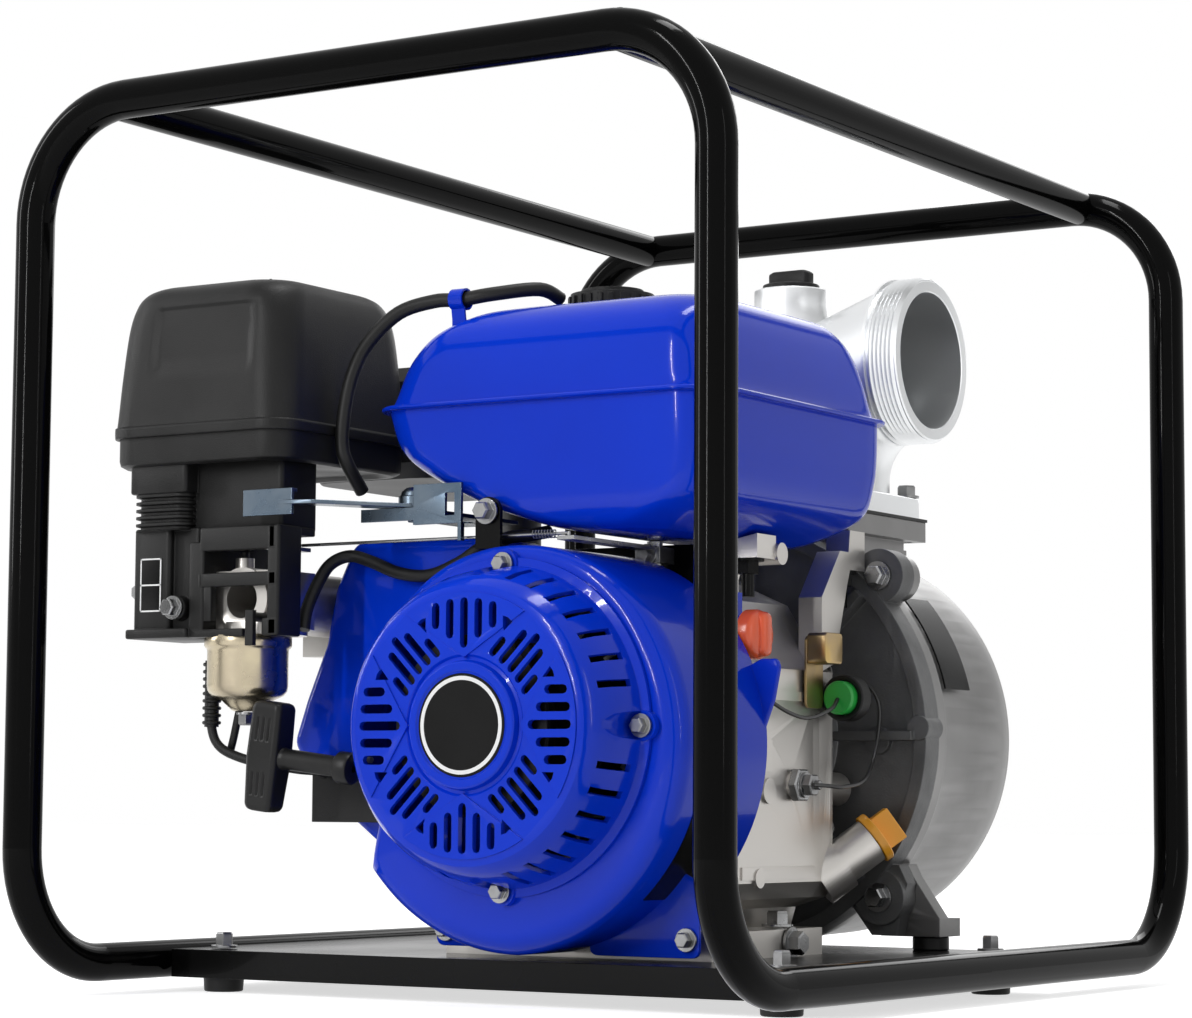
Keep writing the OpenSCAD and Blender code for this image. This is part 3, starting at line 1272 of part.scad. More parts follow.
// Half outline of the bowl; t draws it in to the inner wall
function casing_profile(t) = concat(
  t > 0
    ? [[0, casing_y0 - 1], [adapter_r - 4 - t, casing_y0 - 1]]
    : [[0, casing_y0], [adapter_r, casing_y0], [adapter_r, casing_y0 + 11],
      [adapter_r - 4, casing_y0 + 14]],
  [[adapter_r - 6 - t, casing_y1 - 34], [adapter_r - 9 - t, casing_y1 - 18 - 0.6 * t],
    [adapter_r - 17 - t, casing_y1 - 6 - t], [adapter_r - 29 - t, casing_y1 - t], [0, casing_y1 - t]]
);

neck_bolt = 48;                     // half pitch of the neck's bolts
// Square block round the neck's axis
module neck_square(half, z0, z1) {
  box(neck_cx - half, neck_cx + half, neck_cy - half, neck_cy + half, z0, z1);
}
module neck_bolt_holes(z0, z1) {
  for (x = [-neck_bolt, neck_bolt], y = [-neck_bolt, neck_bolt])
    zcyl(4.2, z0, z1, neck_cx + x, neck_cy + y, 24);
}

module pump_casing() {
  sole = pump_foot_z - crank_z + 0.2;
  color("#c9ccce") at_crank() difference() {
    union() {
      yturn(128) polygon(casing_profile(0));
      ear_places() {
        ycyl(16, casing_y0, casing_y0 + 12.4, fn = 40);
        box(adapter_r - ear_r - 8, 0, casing_y0 + 0.6, casing_y0 + 9.6, -14, 14);
      }
      neck_square(neck_bolt, 90, neck_top);
      neck_square(flange_hw, neck_top - 14, neck_top);
      for (s = [0, 1]) mirror([s, 0, 0]) {
        box(106, mount_x + 15, casing_y0 + 0.1, casing_y0 + 30, sole, sole + 11.8);
        yslab(casing_y0 + 0.3, casing_y0 + 13)
          polygon([[92, -84], [98, sole], [mount_x + 15, sole], [mount_x + 15, sole + 11.8], [122, -92],
            [118, -84]]);
      }
      ycyl(port_od / 2 + 14, casing_y1 - 2, casing_y1 + 8, 0, inlet_z, 72);
    }
    yturn(128) polygon(casing_profile(casing_t));
    ycyl(port_bore / 2, casing_y1 - casing_t - 1, casing_y1 + 9, 0, inlet_z, 64);
    zcyl(port_bore / 2 - 4, 60, neck_top + 1, neck_cx, neck_cy, 64);
    ear_places() ycyl(5, casing_y0 - 1, casing_y0 + 15, fn = 24);
    neck_bolt_holes(neck_top - 20, neck_top + 1);
    for (s = [-1, 1]) zcyl(5.2, -crank_h, -crank_h + 30, s * mount_x, mount_y, 24);
    ycyl(9 + fit, casing_y1 - 12, casing_y1 + 1, 0, -96, 32);
  }
}

module shaft_seal() {
  color("#8a8c90") at_crank() difference() {
    union() { ycyl(22, casing_y0 + 0.5, casing_y0 + 12); ycyl(17, casing_y0 + 12, casing_y0 + 22); }
    ycyl(shaft_r + fit, casing_y0, casing_y0 + 23);
  }
}

// Radius at a tenth of a vane's length
function vane_r(i) = 16 + i * (imp_r - 18) / 10;
module impeller() {
  color("#8d8f92") at_crank() difference() {
    union() {
      ycyl(imp_r, 128, 134, fn = 96);
      ycyl(24, 118, 168);
      for (k = [0:2]) rotate([0, 120 * k, 0]) translate([0, 133, 0]) rotate([-90, 0, 0]) linear_extrude(34)
        polygon(concat([for (i = [0:10]) polar(vane_r(i), 9 * i)],
          [for (i = [10:-1:0]) polar(vane_r(i), 8.55 * i + 8)]));
    }
    ycyl(shaft_r + fit, 117, shaft_y1 + 1);
  }
}

volute_r = 118;
module pump_volute() {
  color("#9a9c9f") at_crank() difference() {
    ycyl(volute_r, casing_y0 - 5 + gap, 176, fn = 96);
    ycyl(imp_r + 4, 120, 172, fn = 96);
    ycyl(44, 171, 177, fn = 64);
    ycyl(28, casing_y0 - 6, 121);
    // outlet of the spiral, towards the neck
    yslab(124, 170) polygon([[imp_r - 30, 0], [volute_r + 20, 0], [volute_r + 20, volute_r + 20],
      [40, volute_r + 20], [40, imp_r - 20]]);
    zcyl(port_bore / 2 - 4, 60, neck_top + 1, neck_cx, neck_cy, 64);
  }
}

module inlet_bolt_places() {
  bolt_circle(port_od / 2 + 9, 45, inlet_z) children();
}
flange_y0 = casing_y1 + 8;
module inlet_flange() {
  color("#c4c7c9") at_crank() difference() {
    union() {
      ycyl(port_od / 2 + 14, flange_y0 + 0.2, flange_y0 + 12, 0, inlet_z, 72);
      ycyl(port_od / 2, flange_y0 + 11, flange_y0 + 46, 0, inlet_z, 96);
    }
    ycyl(port_bore / 2, flange_y0 - 1, flange_y0 + 47, 0, inlet_z, 64);
    inlet_bolt_places() ycyl(4.2, flange_y0, flange_y0 + 13, fn = 24);
  }
  color("silver") at_crank() inlet_bolt_places()
    translate([0, flange_y0 + 12, 0]) rotate([-90, 0, 0]) bolt_head(10, 6, 7);
}

module check_flap() {
  color("#1b1b1b") at_crank() translate([0, casing_y1 - casing_t - 4.4, inlet_z]) {
    ycyl(port_bore / 2 + 3, 0, 4, fn = 64);
    translate([-13, 0, port_bore / 2 - 2]) cube([26, 4, 6]);
    // hinge barrel
    xcyl(2, -16, 16, 1.9, port_bore / 2 + 4, 24);
  }
}

elbow_z0 = neck_top + 2.2;
module discharge_gasket() {
  color("#17181a") at_crank() difference() {
    neck_square(flange_hw + 1, neck_top + 0.1, elbow_z0 - 0.1);
    zcyl(port_bore / 2, neck_top - 1, elbow_z0 + 1, neck_cx, neck_cy, 64);
    neck_bolt_holes(neck_top - 1, elbow_z0 + 1);
  }
}

elbow_zb = elbow_z0 + 24;
prime_x = -8;
prime_z = 316;
plug_r = 14;
module elbow_bend(r) {
  translate([neck_cx + elbow_r, neck_cy, elbow_zb]) rotate([90, 0, 180])
    rotate_extrude(angle = 90, $fn = 96) translate([elbow_r, 0]) circle(r = r, $fn = 72);
}

module discharge_elbow() {
  color("#c9ccce") at_crank() difference() {
    union() {
      neck_square(flange_hw, elbow_z0, elbow_z0 + 14);
      zcyl(port_bore / 2 + 6, elbow_z0 + 10, elbow_zb, neck_cx, neck_cy, 72);
      elbow_bend(port_bore / 2 + 6);
      xcyl(port_od / 2, neck_cx + elbow_r - 10, neck_cx + elbow_r + 12, neck_cy, elbow_zb + elbow_r, 96);
      // boss of the priming plug
      zcyl(26, elbow_zb + 20, prime_z, prime_x, neck_cy, 56);
    }
    zcyl(port_bore / 2, elbow_z0 - 1, elbow_zb, neck_cx, neck_cy, 72);
    elbow_bend(port_bore / 2);
    xcyl(port_bore / 2, neck_cx + elbow_r, neck_cx + elbow_r + 13, neck_cy, elbow_zb + elbow_r, 72);
    zcyl(plug_r + fit, elbow_zb + elbow_r - 30, prime_z + 1, prime_x, neck_cy, 40);
    neck_bolt_holes(elbow_z0 - 1, elbow_z0 + 15);
  }
}
module priming_plug() {
  color("#1b1b1d") at_crank() translate([prime_x, neck_cy, prime_z]) {
    zcyl(plug_r, -14, 0.3, fn = 40);
    zcyl(plug_r + 6, 0.3, 4, fn = 40);
    loft([ring(-16, 16, -6, 6, 3, 4, 3), ring(-16, 16, -6, 6, 3, 12, 3), ring(-13, 13, -5, 5, 3, 14, 3)]);
  }
}

front_hoop();
rear_hoop();
top_rails();
base_plate();
rubber_mounts();
foot_bolts();
crankcase();
side_cover();
main_bearings();
crankshaft();
connecting_rod();
piston();
camshaft();
cylinder_head();
valve_cover();
spark_plug();
flywheel();
starter_cup();
fan_shroud();
lower_shield();
recoil_cover();
recoil_reel();
starter_rope();
recoil_handle();
shroud_bolts();
fuel_tank();
tank_cap();
tank_brackets();
fuel_hose();
breather_hose();
air_cleaner_base();
air_filter();
air_cleaner_cover();
wing_nut();
carburettor();
float_bowl();
choke_lever();
fuel_lever();
throttle_arm();
control_plate();
throttle_lever();
governor_arm();
governor_rod();
muffler();
switch_box();
switch_knob();
oil_alert_unit();
switch_wires();
oil_cap();
engine_bolts();
pump_adapter();
pump_casing();
shaft_seal();
impeller();
pump_volute();
inlet_flange();
check_flap();
discharge_gasket();
discharge_elbow();
priming_plug();
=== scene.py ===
"""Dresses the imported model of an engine-driven trash pump in its carry cage.

Each sub-assembly is a class that keeps its sizes in millimetres and has methods that build its pieces
and dress them. The studio class makes the camera, the lamps, the world and the floor.
"""

import json
import logging
import math
from dataclasses import dataclass
from enum import Enum
from typing import Callable, Iterable, Sequence

import bmesh
import bpy
from mathutils import Matrix, Vector

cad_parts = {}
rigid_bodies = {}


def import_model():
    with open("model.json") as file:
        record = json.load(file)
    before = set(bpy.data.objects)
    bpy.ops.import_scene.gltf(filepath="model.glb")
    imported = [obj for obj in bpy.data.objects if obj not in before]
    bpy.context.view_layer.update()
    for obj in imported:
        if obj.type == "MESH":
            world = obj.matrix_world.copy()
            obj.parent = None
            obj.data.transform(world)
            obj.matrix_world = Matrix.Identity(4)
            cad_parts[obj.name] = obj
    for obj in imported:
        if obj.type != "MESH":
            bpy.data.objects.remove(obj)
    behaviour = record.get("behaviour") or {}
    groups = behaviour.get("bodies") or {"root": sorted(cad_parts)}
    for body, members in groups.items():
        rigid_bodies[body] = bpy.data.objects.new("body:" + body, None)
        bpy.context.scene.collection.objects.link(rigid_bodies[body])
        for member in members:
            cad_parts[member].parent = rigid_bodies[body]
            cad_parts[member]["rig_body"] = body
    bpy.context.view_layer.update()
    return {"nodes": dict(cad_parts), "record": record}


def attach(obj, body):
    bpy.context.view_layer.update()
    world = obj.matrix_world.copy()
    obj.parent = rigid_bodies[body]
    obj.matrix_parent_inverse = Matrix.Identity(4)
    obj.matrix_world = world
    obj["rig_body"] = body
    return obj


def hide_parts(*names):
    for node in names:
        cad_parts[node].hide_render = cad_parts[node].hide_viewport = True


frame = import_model()
LOG = logging.getLogger("trash_pump")
MM = 0.001
# points nearer than this, in metres, are joined, and faces that turn by less than this are one
WELD = 2e-6
FLAT_DEGREES = 0.6
WASHER_HEIGHT = 1.6
AHEAD, BACK, RIGHT, UP, DOWN = (0, -1, 0), (0, 1, 0), (1, 0, 0), (0, 0, 1), (0, 0, -1)
Point = Sequence[float]
Flat = tuple[float, float]


# ---------------------------------------------------------------- small helpers
def metres(point: Point) -> Vector:
    """Gives a point in millimetres as a vector in metres."""
    return Vector(point) * MM


def hermite(s: float) -> tuple[float, float, float, float]:
    """Gives the weights of start, start slope, end and end slope on a smooth curve, for s from 0 to 1."""
    return (2 * s**3 - 3 * s**2 + 1, s**3 - 2 * s**2 + s, 3 * s**2 - 2 * s**3, s**3 - s**2)


def hermite_route(points: Sequence[Point], steps: int) -> list[Vector]:
    """Runs a smooth route through the chosen points of a hose or a wire.

    Args:
        points: the chosen points, in millimetres.
        steps: the number of pieces between two chosen points.

    Returns:
        The points of the route, in millimetres.
    """
    chosen = [Vector(p) for p in points]
    last = len(chosen) - 1
    slopes = [(chosen[min(i + 1, last)] - chosen[max(i - 1, 0)]) / 2 for i in range(last + 1)]
    route = []
    for i in range(last):
        for j in range(steps):
            a, b, c, d = hermite(j / steps)
            route.append(a * chosen[i] + b * slopes[i] + c * chosen[i + 1] + d * slopes[i + 1])
    return route + [chosen[last]]


def body_of(node: str) -> str:
    """Gives the name of the CAD body that a node rides on."""
    return frame["nodes"][node]["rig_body"]


SLOT_OF = {row["node"]: row["material_slot"] for row in frame["record"]["subparts"]}


# ---------------------------------------------------------------- node groups
def new_group(name: str, inputs: dict[str, float | tuple], outputs: dict[str, str]) -> bpy.types.NodeTree:
    """Starts a shader node group with named sockets.

    Args:
        name: the group's name.
        inputs: each input's name and its default; a tuple of four makes a colour, of three a vector.
        outputs: each output's name and its socket type.

    Returns:
        The node group, with its input and output nodes in place.
    """
    group = bpy.data.node_groups.new(name, "ShaderNodeTree")
    for label, default in inputs.items():
        kind = "NodeSocketFloat"
        if isinstance(default, tuple):
            kind = "NodeSocketColor" if len(default) == 4 else "NodeSocketVector"
        socket = group.interface.new_socket(name=label, in_out="INPUT", socket_type=kind)
        socket.default_value = default
    for label, kind in outputs.items():
        group.interface.new_socket(name=label, in_out="OUTPUT", socket_type=kind)
    group.nodes.new("NodeGroupInput").name = "In"
    group.nodes.new("NodeGroupOutput").name = "Out"
    return group


def feed(node: bpy.types.Node, inputs: dict[str | int, object]) -> bpy.types.Node:
    """Links or sets the inputs of a node.

    Args:
        node: the node.
        inputs: for each input, the socket that feeds it or its own value.

    Returns:
        The node.
    """
    for key, value in inputs.items():
        if isinstance(value, bpy.types.NodeSocket):
            node.id_data.links.new(value, node.inputs[key])
        else:
            node.inputs[key].default_value = value
    return node


def add_node(tree: bpy.types.NodeTree, kind: str, inputs: dict[str | int, object] | None = None,
             **options: object) -> bpy.types.Node:
    """Adds a node to a tree.

    Args:
        tree: the node tree.
        kind: the node's type.
        inputs: for each input, the socket that feeds it or its own value.
        **options: the node's own options.

    Returns:
        The node.
    """
    node = tree.nodes.new(kind)
    for option, value in options.items():
        setattr(node, option, value)
    return feed(node, inputs or {})


def build_mottle_group() -> bpy.types.NodeTree:
    """Builds the group that mixes two colours and spreads the roughness in soft clouds.

    Returns:
        The node group, with Colour and Roughness outputs.
    """
    group = new_group(
        "Mottle",
        {"Colour": (0.5, 0.5, 0.5, 1.0), "Shade": (0.4, 0.4, 0.4, 1.0), "Scale": 20.0, "Rough Low": 0.3,
         "Rough High": 0.5},
        {"Colour": "NodeSocketColor", "Roughness": "NodeSocketFloat"},
    )
    entry = group.nodes["In"].outputs
    place = add_node(group, "ShaderNodeTexCoord").outputs["Object"]
    cloud = add_node(group, "ShaderNodeTexNoise", {"Detail": 5.0, "Vector": place, "Scale": entry["Scale"]})
    spread = add_node(group, "ShaderNodeMapRange",
                      {"From Min": 0.3, "From Max": 0.7, "Value": cloud.outputs["Fac"]}).outputs["Result"]
    mix = add_node(group, "ShaderNodeMix", {"Factor": spread, "A": entry["Colour"], "B": entry["Shade"]},
                   data_type="RGBA")
    rough = add_node(group, "ShaderNodeMapRange",
                     {"Value": spread, "To Min": entry["Rough Low"], "To Max": entry["Rough High"]})
    feed(group.nodes["Out"], {"Colour": mix.outputs["Result"], "Roughness": rough.outputs["Result"]})
    return group


def build_grain_group() -> bpy.types.NodeTree:
    """Builds the group that makes the fine relief of castings, moulded plastic and paint.

    Returns:
        The node group, with a Height output from 0 to 1.
    """
    group = new_group("Grain", {"Scale": 400.0, "Pits": 0.5}, {"Height": "NodeSocketFloat"})
    entry = group.nodes["In"].outputs
    place = add_node(group, "ShaderNodeTexCoord").outputs["Object"]
    fine = add_node(group, "ShaderNodeTexNoise", {"Detail": 3.0, "Vector": place, "Scale": entry["Scale"]})
    cells = add_node(group, "ShaderNodeTexVoronoi", {"Vector": place, "Scale": entry["Scale"]})
    mix = add_node(group, "ShaderNodeMix",
                   {"Factor": entry["Pits"], "A": fine.outputs["Fac"], "B": cells.outputs["Distance"]})
    feed(group.nodes["Out"], {"Height": mix.outputs["Result"]})
    return group


GROUPS = {"mottle": build_mottle_group(), "grain": build_grain_group()}


# ---------------------------------------------------------------- finishes
class Edge(Enum):
    """How far a finish rounds the light on its edges, in millimetres."""

    NONE = 0.0
    FINE = 0.5
    SOFT = 1.2
    CAST = 2.0


@dataclass(frozen=True)
class Finish:
    """A surface finish of the pump, from which a material is built once."""

    name: str
    colour: tuple[float, float, float]
    shade: tuple[float, float, float]
    roughness: tuple[float, float]
    metallic: float = 0.0
    specular: float = 0.5
    coat: float = 0.0
    coat_roughness: float = 0.03
    cloud_scale: float = 18.0
    grain_scale: float = 400.0
    grain_depth: float = 0.0
    pits: float = 0.3
    edge: Edge = Edge.FINE

    def material(self) -> bpy.types.Material:
        """Gives the finish's material, building it at the first call.

        Returns:
            The Blender material.
        """
        found = bpy.data.materials.get(self.name)
        if found:
            return found
        made = bpy.data.materials.new(self.name)
        made.use_nodes = True
        tree = made.node_tree
        mottle = add_node(tree, "ShaderNodeGroup", node_tree=GROUPS["mottle"])
        feed(mottle, {"Colour": (*self.colour, 1.0), "Shade": (*self.shade, 1.0), "Scale": self.cloud_scale,
                      "Rough Low": self.roughness[0], "Rough High": self.roughness[1]})
        shader = feed(tree.nodes["Principled BSDF"], {
            "Metallic": self.metallic, "Specular IOR Level": self.specular, "Coat Weight": self.coat,
            "Coat Roughness": self.coat_roughness, "Base Color": mottle.outputs["Colour"],
            "Roughness": mottle.outputs["Roughness"]})
        self.relief(tree, shader)
        return made

    def relief(self, tree: bpy.types.NodeTree, shader: bpy.types.Node) -> None:
        """Adds the grain and the rounded light on edges.

        Args:
            tree: the material's node tree.
            shader: the Principled BSDF node.
        """
        bump = add_node(tree, "ShaderNodeBump", {"Strength": 1.0, "Distance": self.grain_depth * MM})
        if self.grain_depth:
            grain = add_node(tree, "ShaderNodeGroup", node_tree=GROUPS["grain"])
            feed(grain, {"Scale": self.grain_scale, "Pits": self.pits})
            feed(bump, {"Height": grain.outputs["Height"]})
        if self.edge is not Edge.NONE:
            rounding = add_node(tree, "ShaderNodeBevel", {"Radius": self.edge.value * MM}, samples=4)
            feed(bump, {"Normal": rounding.outputs["Normal"]})
        feed(shader, {"Normal": bump.outputs["Normal"]})


def grey(value: float, warm: float = 0.0) -> tuple[float, float, float]:
    """Gives a grey, a little warmer for a positive second value."""
    return (value * (1 + warm), value, value * (1 - warm))


GLOSS_BLACK = Finish("gloss_black_paint", grey(0.0015), grey(0.002), (0.09, 0.14), coat=0.05, specular=0.03,
                     cloud_scale=9, grain_scale=60, grain_depth=0.01, edge=Edge.NONE)
PLATE_BLACK = Finish("plate_black_paint", grey(0.003), grey(0.005), (0.2, 0.32), coat=0.06, specular=0.08,
                     cloud_scale=9, grain_scale=90, grain_depth=0.02)
ROYAL_BLUE = Finish("royal_blue_paint", (0.001, 0.03, 0.52), (0.001, 0.036, 0.58), (0.14, 0.2), coat=0.2,
                    coat_roughness=0.02, specular=0.08, cloud_scale=7, grain_scale=40, grain_depth=0.012)
RUBBER = Finish("black_rubber", grey(0.006), grey(0.012), (0.4, 0.55), specular=0.25,
                grain_scale=900, grain_depth=0.04)
ZINC = Finish("zinc_plate", grey(0.34, -0.01), grey(0.22), (0.22, 0.38), metallic=1.0, cloud_scale=60,
              grain_scale=900, grain_depth=0.02)
BLUE_ZINC = Finish("bluish_zinc_plate", (0.09, 0.13, 0.18), (0.15, 0.18, 0.21), (0.22, 0.34), metallic=1.0,
                   cloud_scale=40, grain_scale=700, grain_depth=0.02)
CAST_ALU = Finish("cast_aluminium", grey(0.1, 0.05), grey(0.06, 0.07), (0.4, 0.56), metallic=0.7,
                  cloud_scale=26, grain_scale=650, grain_depth=0.16, pits=0.5, edge=Edge.SOFT)
DARK_CAST = Finish("dark_die_casting", grey(0.16, -0.01), grey(0.11, -0.01), (0.42, 0.6), metallic=0.7,
                   cloud_scale=30, grain_scale=600, grain_depth=0.16, pits=0.5, edge=Edge.SOFT)
STEEL = Finish("machined_steel", grey(0.5), grey(0.42), (0.22, 0.35), metallic=1.0, cloud_scale=60)
# painted shade: the casing's two greys mix in broad, low-frequency clouds, and the darker clouds stand in for
# the darker reflections across the casing
SATIN_ALU_PAINTED_SHADE = Finish("satin_aluminium_painted_shade", grey(0.25, 0.01), grey(0.15, 0.01), (0.34, 0.44), metallic=0.92,
                   cloud_scale=7, grain_scale=900, grain_depth=0.04, edge=Edge.SOFT)
BRIGHT_ALU = Finish("bright_aluminium", grey(0.3), grey(0.22), (0.32, 0.42), metallic=0.85, cloud_scale=16,
                    grain_scale=900, grain_depth=0.05, edge=Edge.SOFT)
CAST_IRON = Finish("cast_iron", grey(0.2), grey(0.15), (0.5, 0.7), metallic=0.6, grain_scale=500,
                   grain_depth=0.2, edge=Edge.CAST)
BLACK_PLASTIC = Finish("textured_black_plastic", grey(0.006), grey(0.011), (0.4, 0.52), specular=0.22,
                       cloud_scale=24, grain_scale=1300, grain_depth=0.12, pits=0.6, edge=Edge.SOFT)
FILTER_PAPER = Finish("filter_paper", (0.6, 0.5, 0.3), (0.52, 0.43, 0.26), (0.8, 0.9), grain_scale=800)
ROPE = Finish("braided_rope", grey(0.55), grey(0.4), (0.7, 0.8), grain_scale=1500, grain_depth=0.2)
YELLOW_ZINC = Finish("yellow_zinc_plate", (0.46, 0.4, 0.28), (0.36, 0.31, 0.23), (0.2, 0.34), metallic=1.0,
                     cloud_scale=45)
GOLD_ZINC = Finish("gold_zinc_plate", (0.46, 0.32, 0.12), (0.36, 0.27, 0.16), (0.28, 0.4), metallic=1.0,
                   cloud_scale=60)
MUFFLER_BLACK = Finish("muffler_black_paint", grey(0.02), grey(0.03), (0.5, 0.6), grain_scale=700,
                       grain_depth=0.05)
RED_PLASTIC = Finish("red_plastic", (0.8, 0.04, 0.02), (0.74, 0.035, 0.02), (0.22, 0.3), grain_scale=200,
                     grain_depth=0.01, edge=Edge.SOFT)
ORANGE_PLASTIC = Finish("orange_plastic", (0.9, 0.24, 0.01), (0.84, 0.21, 0.01), (0.26, 0.34),
                        grain_scale=200, grain_depth=0.01, edge=Edge.SOFT)
GREEN_PLASTIC = Finish("green_plastic", (0.02, 0.42, 0.06), (0.02, 0.36, 0.05), (0.3, 0.4))
HANDLE_BLACK = Finish("handle_black_plastic", grey(0.007), grey(0.011), (0.3, 0.4), specular=0.22,
                      cloud_scale=24, grain_scale=900, grain_depth=0.05, edge=Edge.NONE)
RING_WHITE = Finish("white_print", grey(0.8), grey(0.75), (0.35, 0.45), edge=Edge.NONE)
LABEL_BLACK = Finish("label_black", grey(0.003), grey(0.005), (0.2, 0.28), specular=0.15, edge=Edge.NONE)
WIRE_BLACK = Finish("black_insulation", grey(0.01), grey(0.015), (0.3, 0.4), grain_scale=600, edge=Edge.NONE)

BY_SLOT = {
    "black_paint": GLOSS_BLACK,
    "blue_paint": ROYAL_BLUE,
    "rubber": RUBBER,
    "zinc_steel": ZINC,
    "cast_aluminium": CAST_ALU,
    "dark_casting": DARK_CAST,
    "steel": STEEL,
    "bright_aluminium": BRIGHT_ALU,
    "cast_iron": CAST_IRON,
    "black_plastic": BLACK_PLASTIC,
    "filter_foam": FILTER_PAPER,
    "rope": ROPE,
    "bowl_zinc": YELLOW_ZINC,
    "muffler_steel": MUFFLER_BLACK,
    "red_plastic": RED_PLASTIC,
    "orange_plastic": ORANGE_PLASTIC,
    "brass_zinc": GOLD_ZINC,
    "wire": WIRE_BLACK,
}


# ---------------------------------------------------------------- pieces
def linked(name: str, data: bpy.types.ID) -> bpy.types.Object:
    """Puts an object with the given data into the scene."""
    made = bpy.data.objects.new(name, data)
    bpy.context.scene.collection.objects.link(made)
    return made


def paint(piece: bpy.types.Object, finish: Finish) -> None:
    """Gives a piece one material in all its places."""
    piece.data.materials.clear()
    piece.data.materials.append(finish.material())


def finish_mesh(bm: bmesh.types.BMesh, name: str) -> bpy.types.Mesh:
    """Closes a mesh under construction, with its faces turned outwards.

    Args:
        bm: the mesh; it is freed.
        name: the mesh's name.

    Returns:
        The mesh.
    """
    bmesh.ops.remove_doubles(bm, verts=bm.verts, dist=WELD)
    bmesh.ops.recalc_face_normals(bm, faces=bm.faces)
    mesh = bpy.data.meshes.new(name)
    bm.to_mesh(mesh)
    bm.free()
    return mesh


def place_piece(bm: bmesh.types.BMesh, name: str, body: str, finish: Finish,
                sharp: float = 32.0, replaced: str = "") -> bpy.types.Object:
    """Puts a mesh into the scene as a piece that rides on a body.

    Args:
        bm: the mesh, in metres in the row frame; it is freed.
        name: the piece's name.
        body: the CAD body it rides on.
        finish: its finish.
        sharp: faces that meet at more than this angle, in degrees, keep a crisp edge.
        replaced: the CAD node that the piece stands for.

    Returns:
        The piece.
    """
    mesh = finish_mesh(bm, name)
    piece = linked(name, mesh)
    mesh.shade_smooth()
    mesh.set_sharp_from_angle(angle=math.radians(sharp))
    paint(piece, finish)
    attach(piece, body)
    if replaced:
        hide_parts(replaced)
    return piece


def merged_copy(node: str) -> bmesh.types.BMesh:
    """Copies a CAD node's mesh with its triangles joined and its flat faces made whole.

    Args:
        node: the CAD node's name.

    Returns:
        The joined mesh.
    """
    bm = bmesh.new()
    bm.from_mesh(frame["nodes"][node].data)
    bmesh.ops.remove_doubles(bm, verts=bm.verts, dist=1e-5)
    bmesh.ops.dissolve_limit(bm, angle_limit=math.radians(FLAT_DEGREES), verts=bm.verts, edges=bm.edges)
    return bm


def bevelled_node(node: str, width: float, finish: Finish, angle: float = 30.0) -> bpy.types.Object:
    """Stands for a CAD node with the same shape and rounded edges.

    Args:
        node: the CAD node's name.
        width: the rounding, in millimetres.
        finish: its finish.
        angle: edges that turn by more than this angle, in degrees, are rounded.

    Returns:
        The piece.
    """
    piece = place_piece(merged_copy(node), node + "_shell", body_of(node), finish, angle, node)
    rounding = piece.modifiers.new("Rounding", "BEVEL")
    rounding.width = width * MM
    rounding.segments = 3
    rounding.limit_method = "ANGLE"
    rounding.angle_limit = math.radians(angle)
    rounding.harden_normals = True
    rounding.miter_outer = "MITER_ARC"
    return piece


def tube_piece(route: Sequence[Vector], radius: float, name: str, body: str,
               finish: Finish) -> bpy.types.Object:
    """Makes a round hose or wire as a curve along a route.

    Args:
        route: the points of its centre line, in millimetres.
        radius: its radius, in millimetres.
        name: the piece's name.
        body: the CAD body it rides on.
        finish: its finish.

    Returns:
        The curve object.
    """
    curve = bpy.data.curves.new(name, "CURVE")
    curve.dimensions = "3D"
    curve.bevel_depth = radius * MM
    curve.bevel_resolution = 5
    curve.use_fill_caps = True
    spline = curve.splines.new("POLY")
    spline.points.add(len(route) - 1)
    for point, place in zip(spline.points, route):
        point.co = (*(place * MM), 1.0)
    spline.use_smooth = True
    piece = linked(name, curve)
    curve.materials.append(finish.material())
    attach(piece, body)
    return piece


def route_length(route: Sequence[Vector]) -> float:
    """Gives a route's length in metres, from its points in millimetres."""
    return sum((b - a).length for a, b in zip(route, route[1:])) * MM


# ---------------------------------------------------------------- mesh makers
def rounded_ring(x0: float, x1: float, y0: float, y1: float, r: float, z: float, arc: int = 8,
                 side: int = 20) -> list[Vector]:
    """Gives a level ring of points round a rectangle with rounded corners.

    Args:
        x0, x1, y0, y1: the rectangle's sides, in millimetres.
        r: the corner radius.
        z: the height.
        arc: the steps round a corner.
        side: the steps along a side.

    Returns:
        The points, counter-clockwise seen from above.
    """
    corners = []
    centres = ((x1 - r, y1 - r), (x0 + r, y1 - r), (x0 + r, y0 + r), (x1 - r, y0 + r))
    for (cx, cy), start in zip(centres, (0, 90, 180, 270)):
        turns = [math.radians(start + 90 * i / arc) for i in range(arc + 1)]
        corners.append([Vector((cx + r * math.cos(t), cy + r * math.sin(t), z)) for t in turns])
    ring = []
    for k in range(4):
        ring += corners[k]
        a, b = corners[k][-1], corners[(k + 1) % 4][0]
        ring += [a.lerp(b, j / side) for j in range(1, side)]
    return ring


def blended_rows(rows: Sequence[Sequence[float]], steps: int, crisp: Iterable[int] = ()) -> list[list[float]]:
    """Runs a smooth curve through rows of numbers, so that a loft has no creases.

    Args:
        rows: the rows, one for each chosen level.
        steps: the number of levels between two rows.
        crisp: the rows where the slope may break.

    Returns:
        The rows of the finer loft.
    """
    last = len(rows) - 1
    out = []
    for i in range(last):
        before = rows[i] if i == 0 or i in crisp else rows[i - 1]
        after = rows[i + 1] if i + 1 == last or i + 1 in crisp else rows[i + 2]
        for j in range(steps):
            h = hermite(j / steps)
            out.append([
                h[0] * a + h[1] * (b - p) / (1 if p == a and before is rows[i] else 2)
                + h[2] * b + h[3] * (n - a) / (1 if n == b and after is rows[i + 1] else 2)
                for p, a, b, n in zip(before, rows[i], rows[i + 1], after)
            ])
    return out + [list(rows[last])]


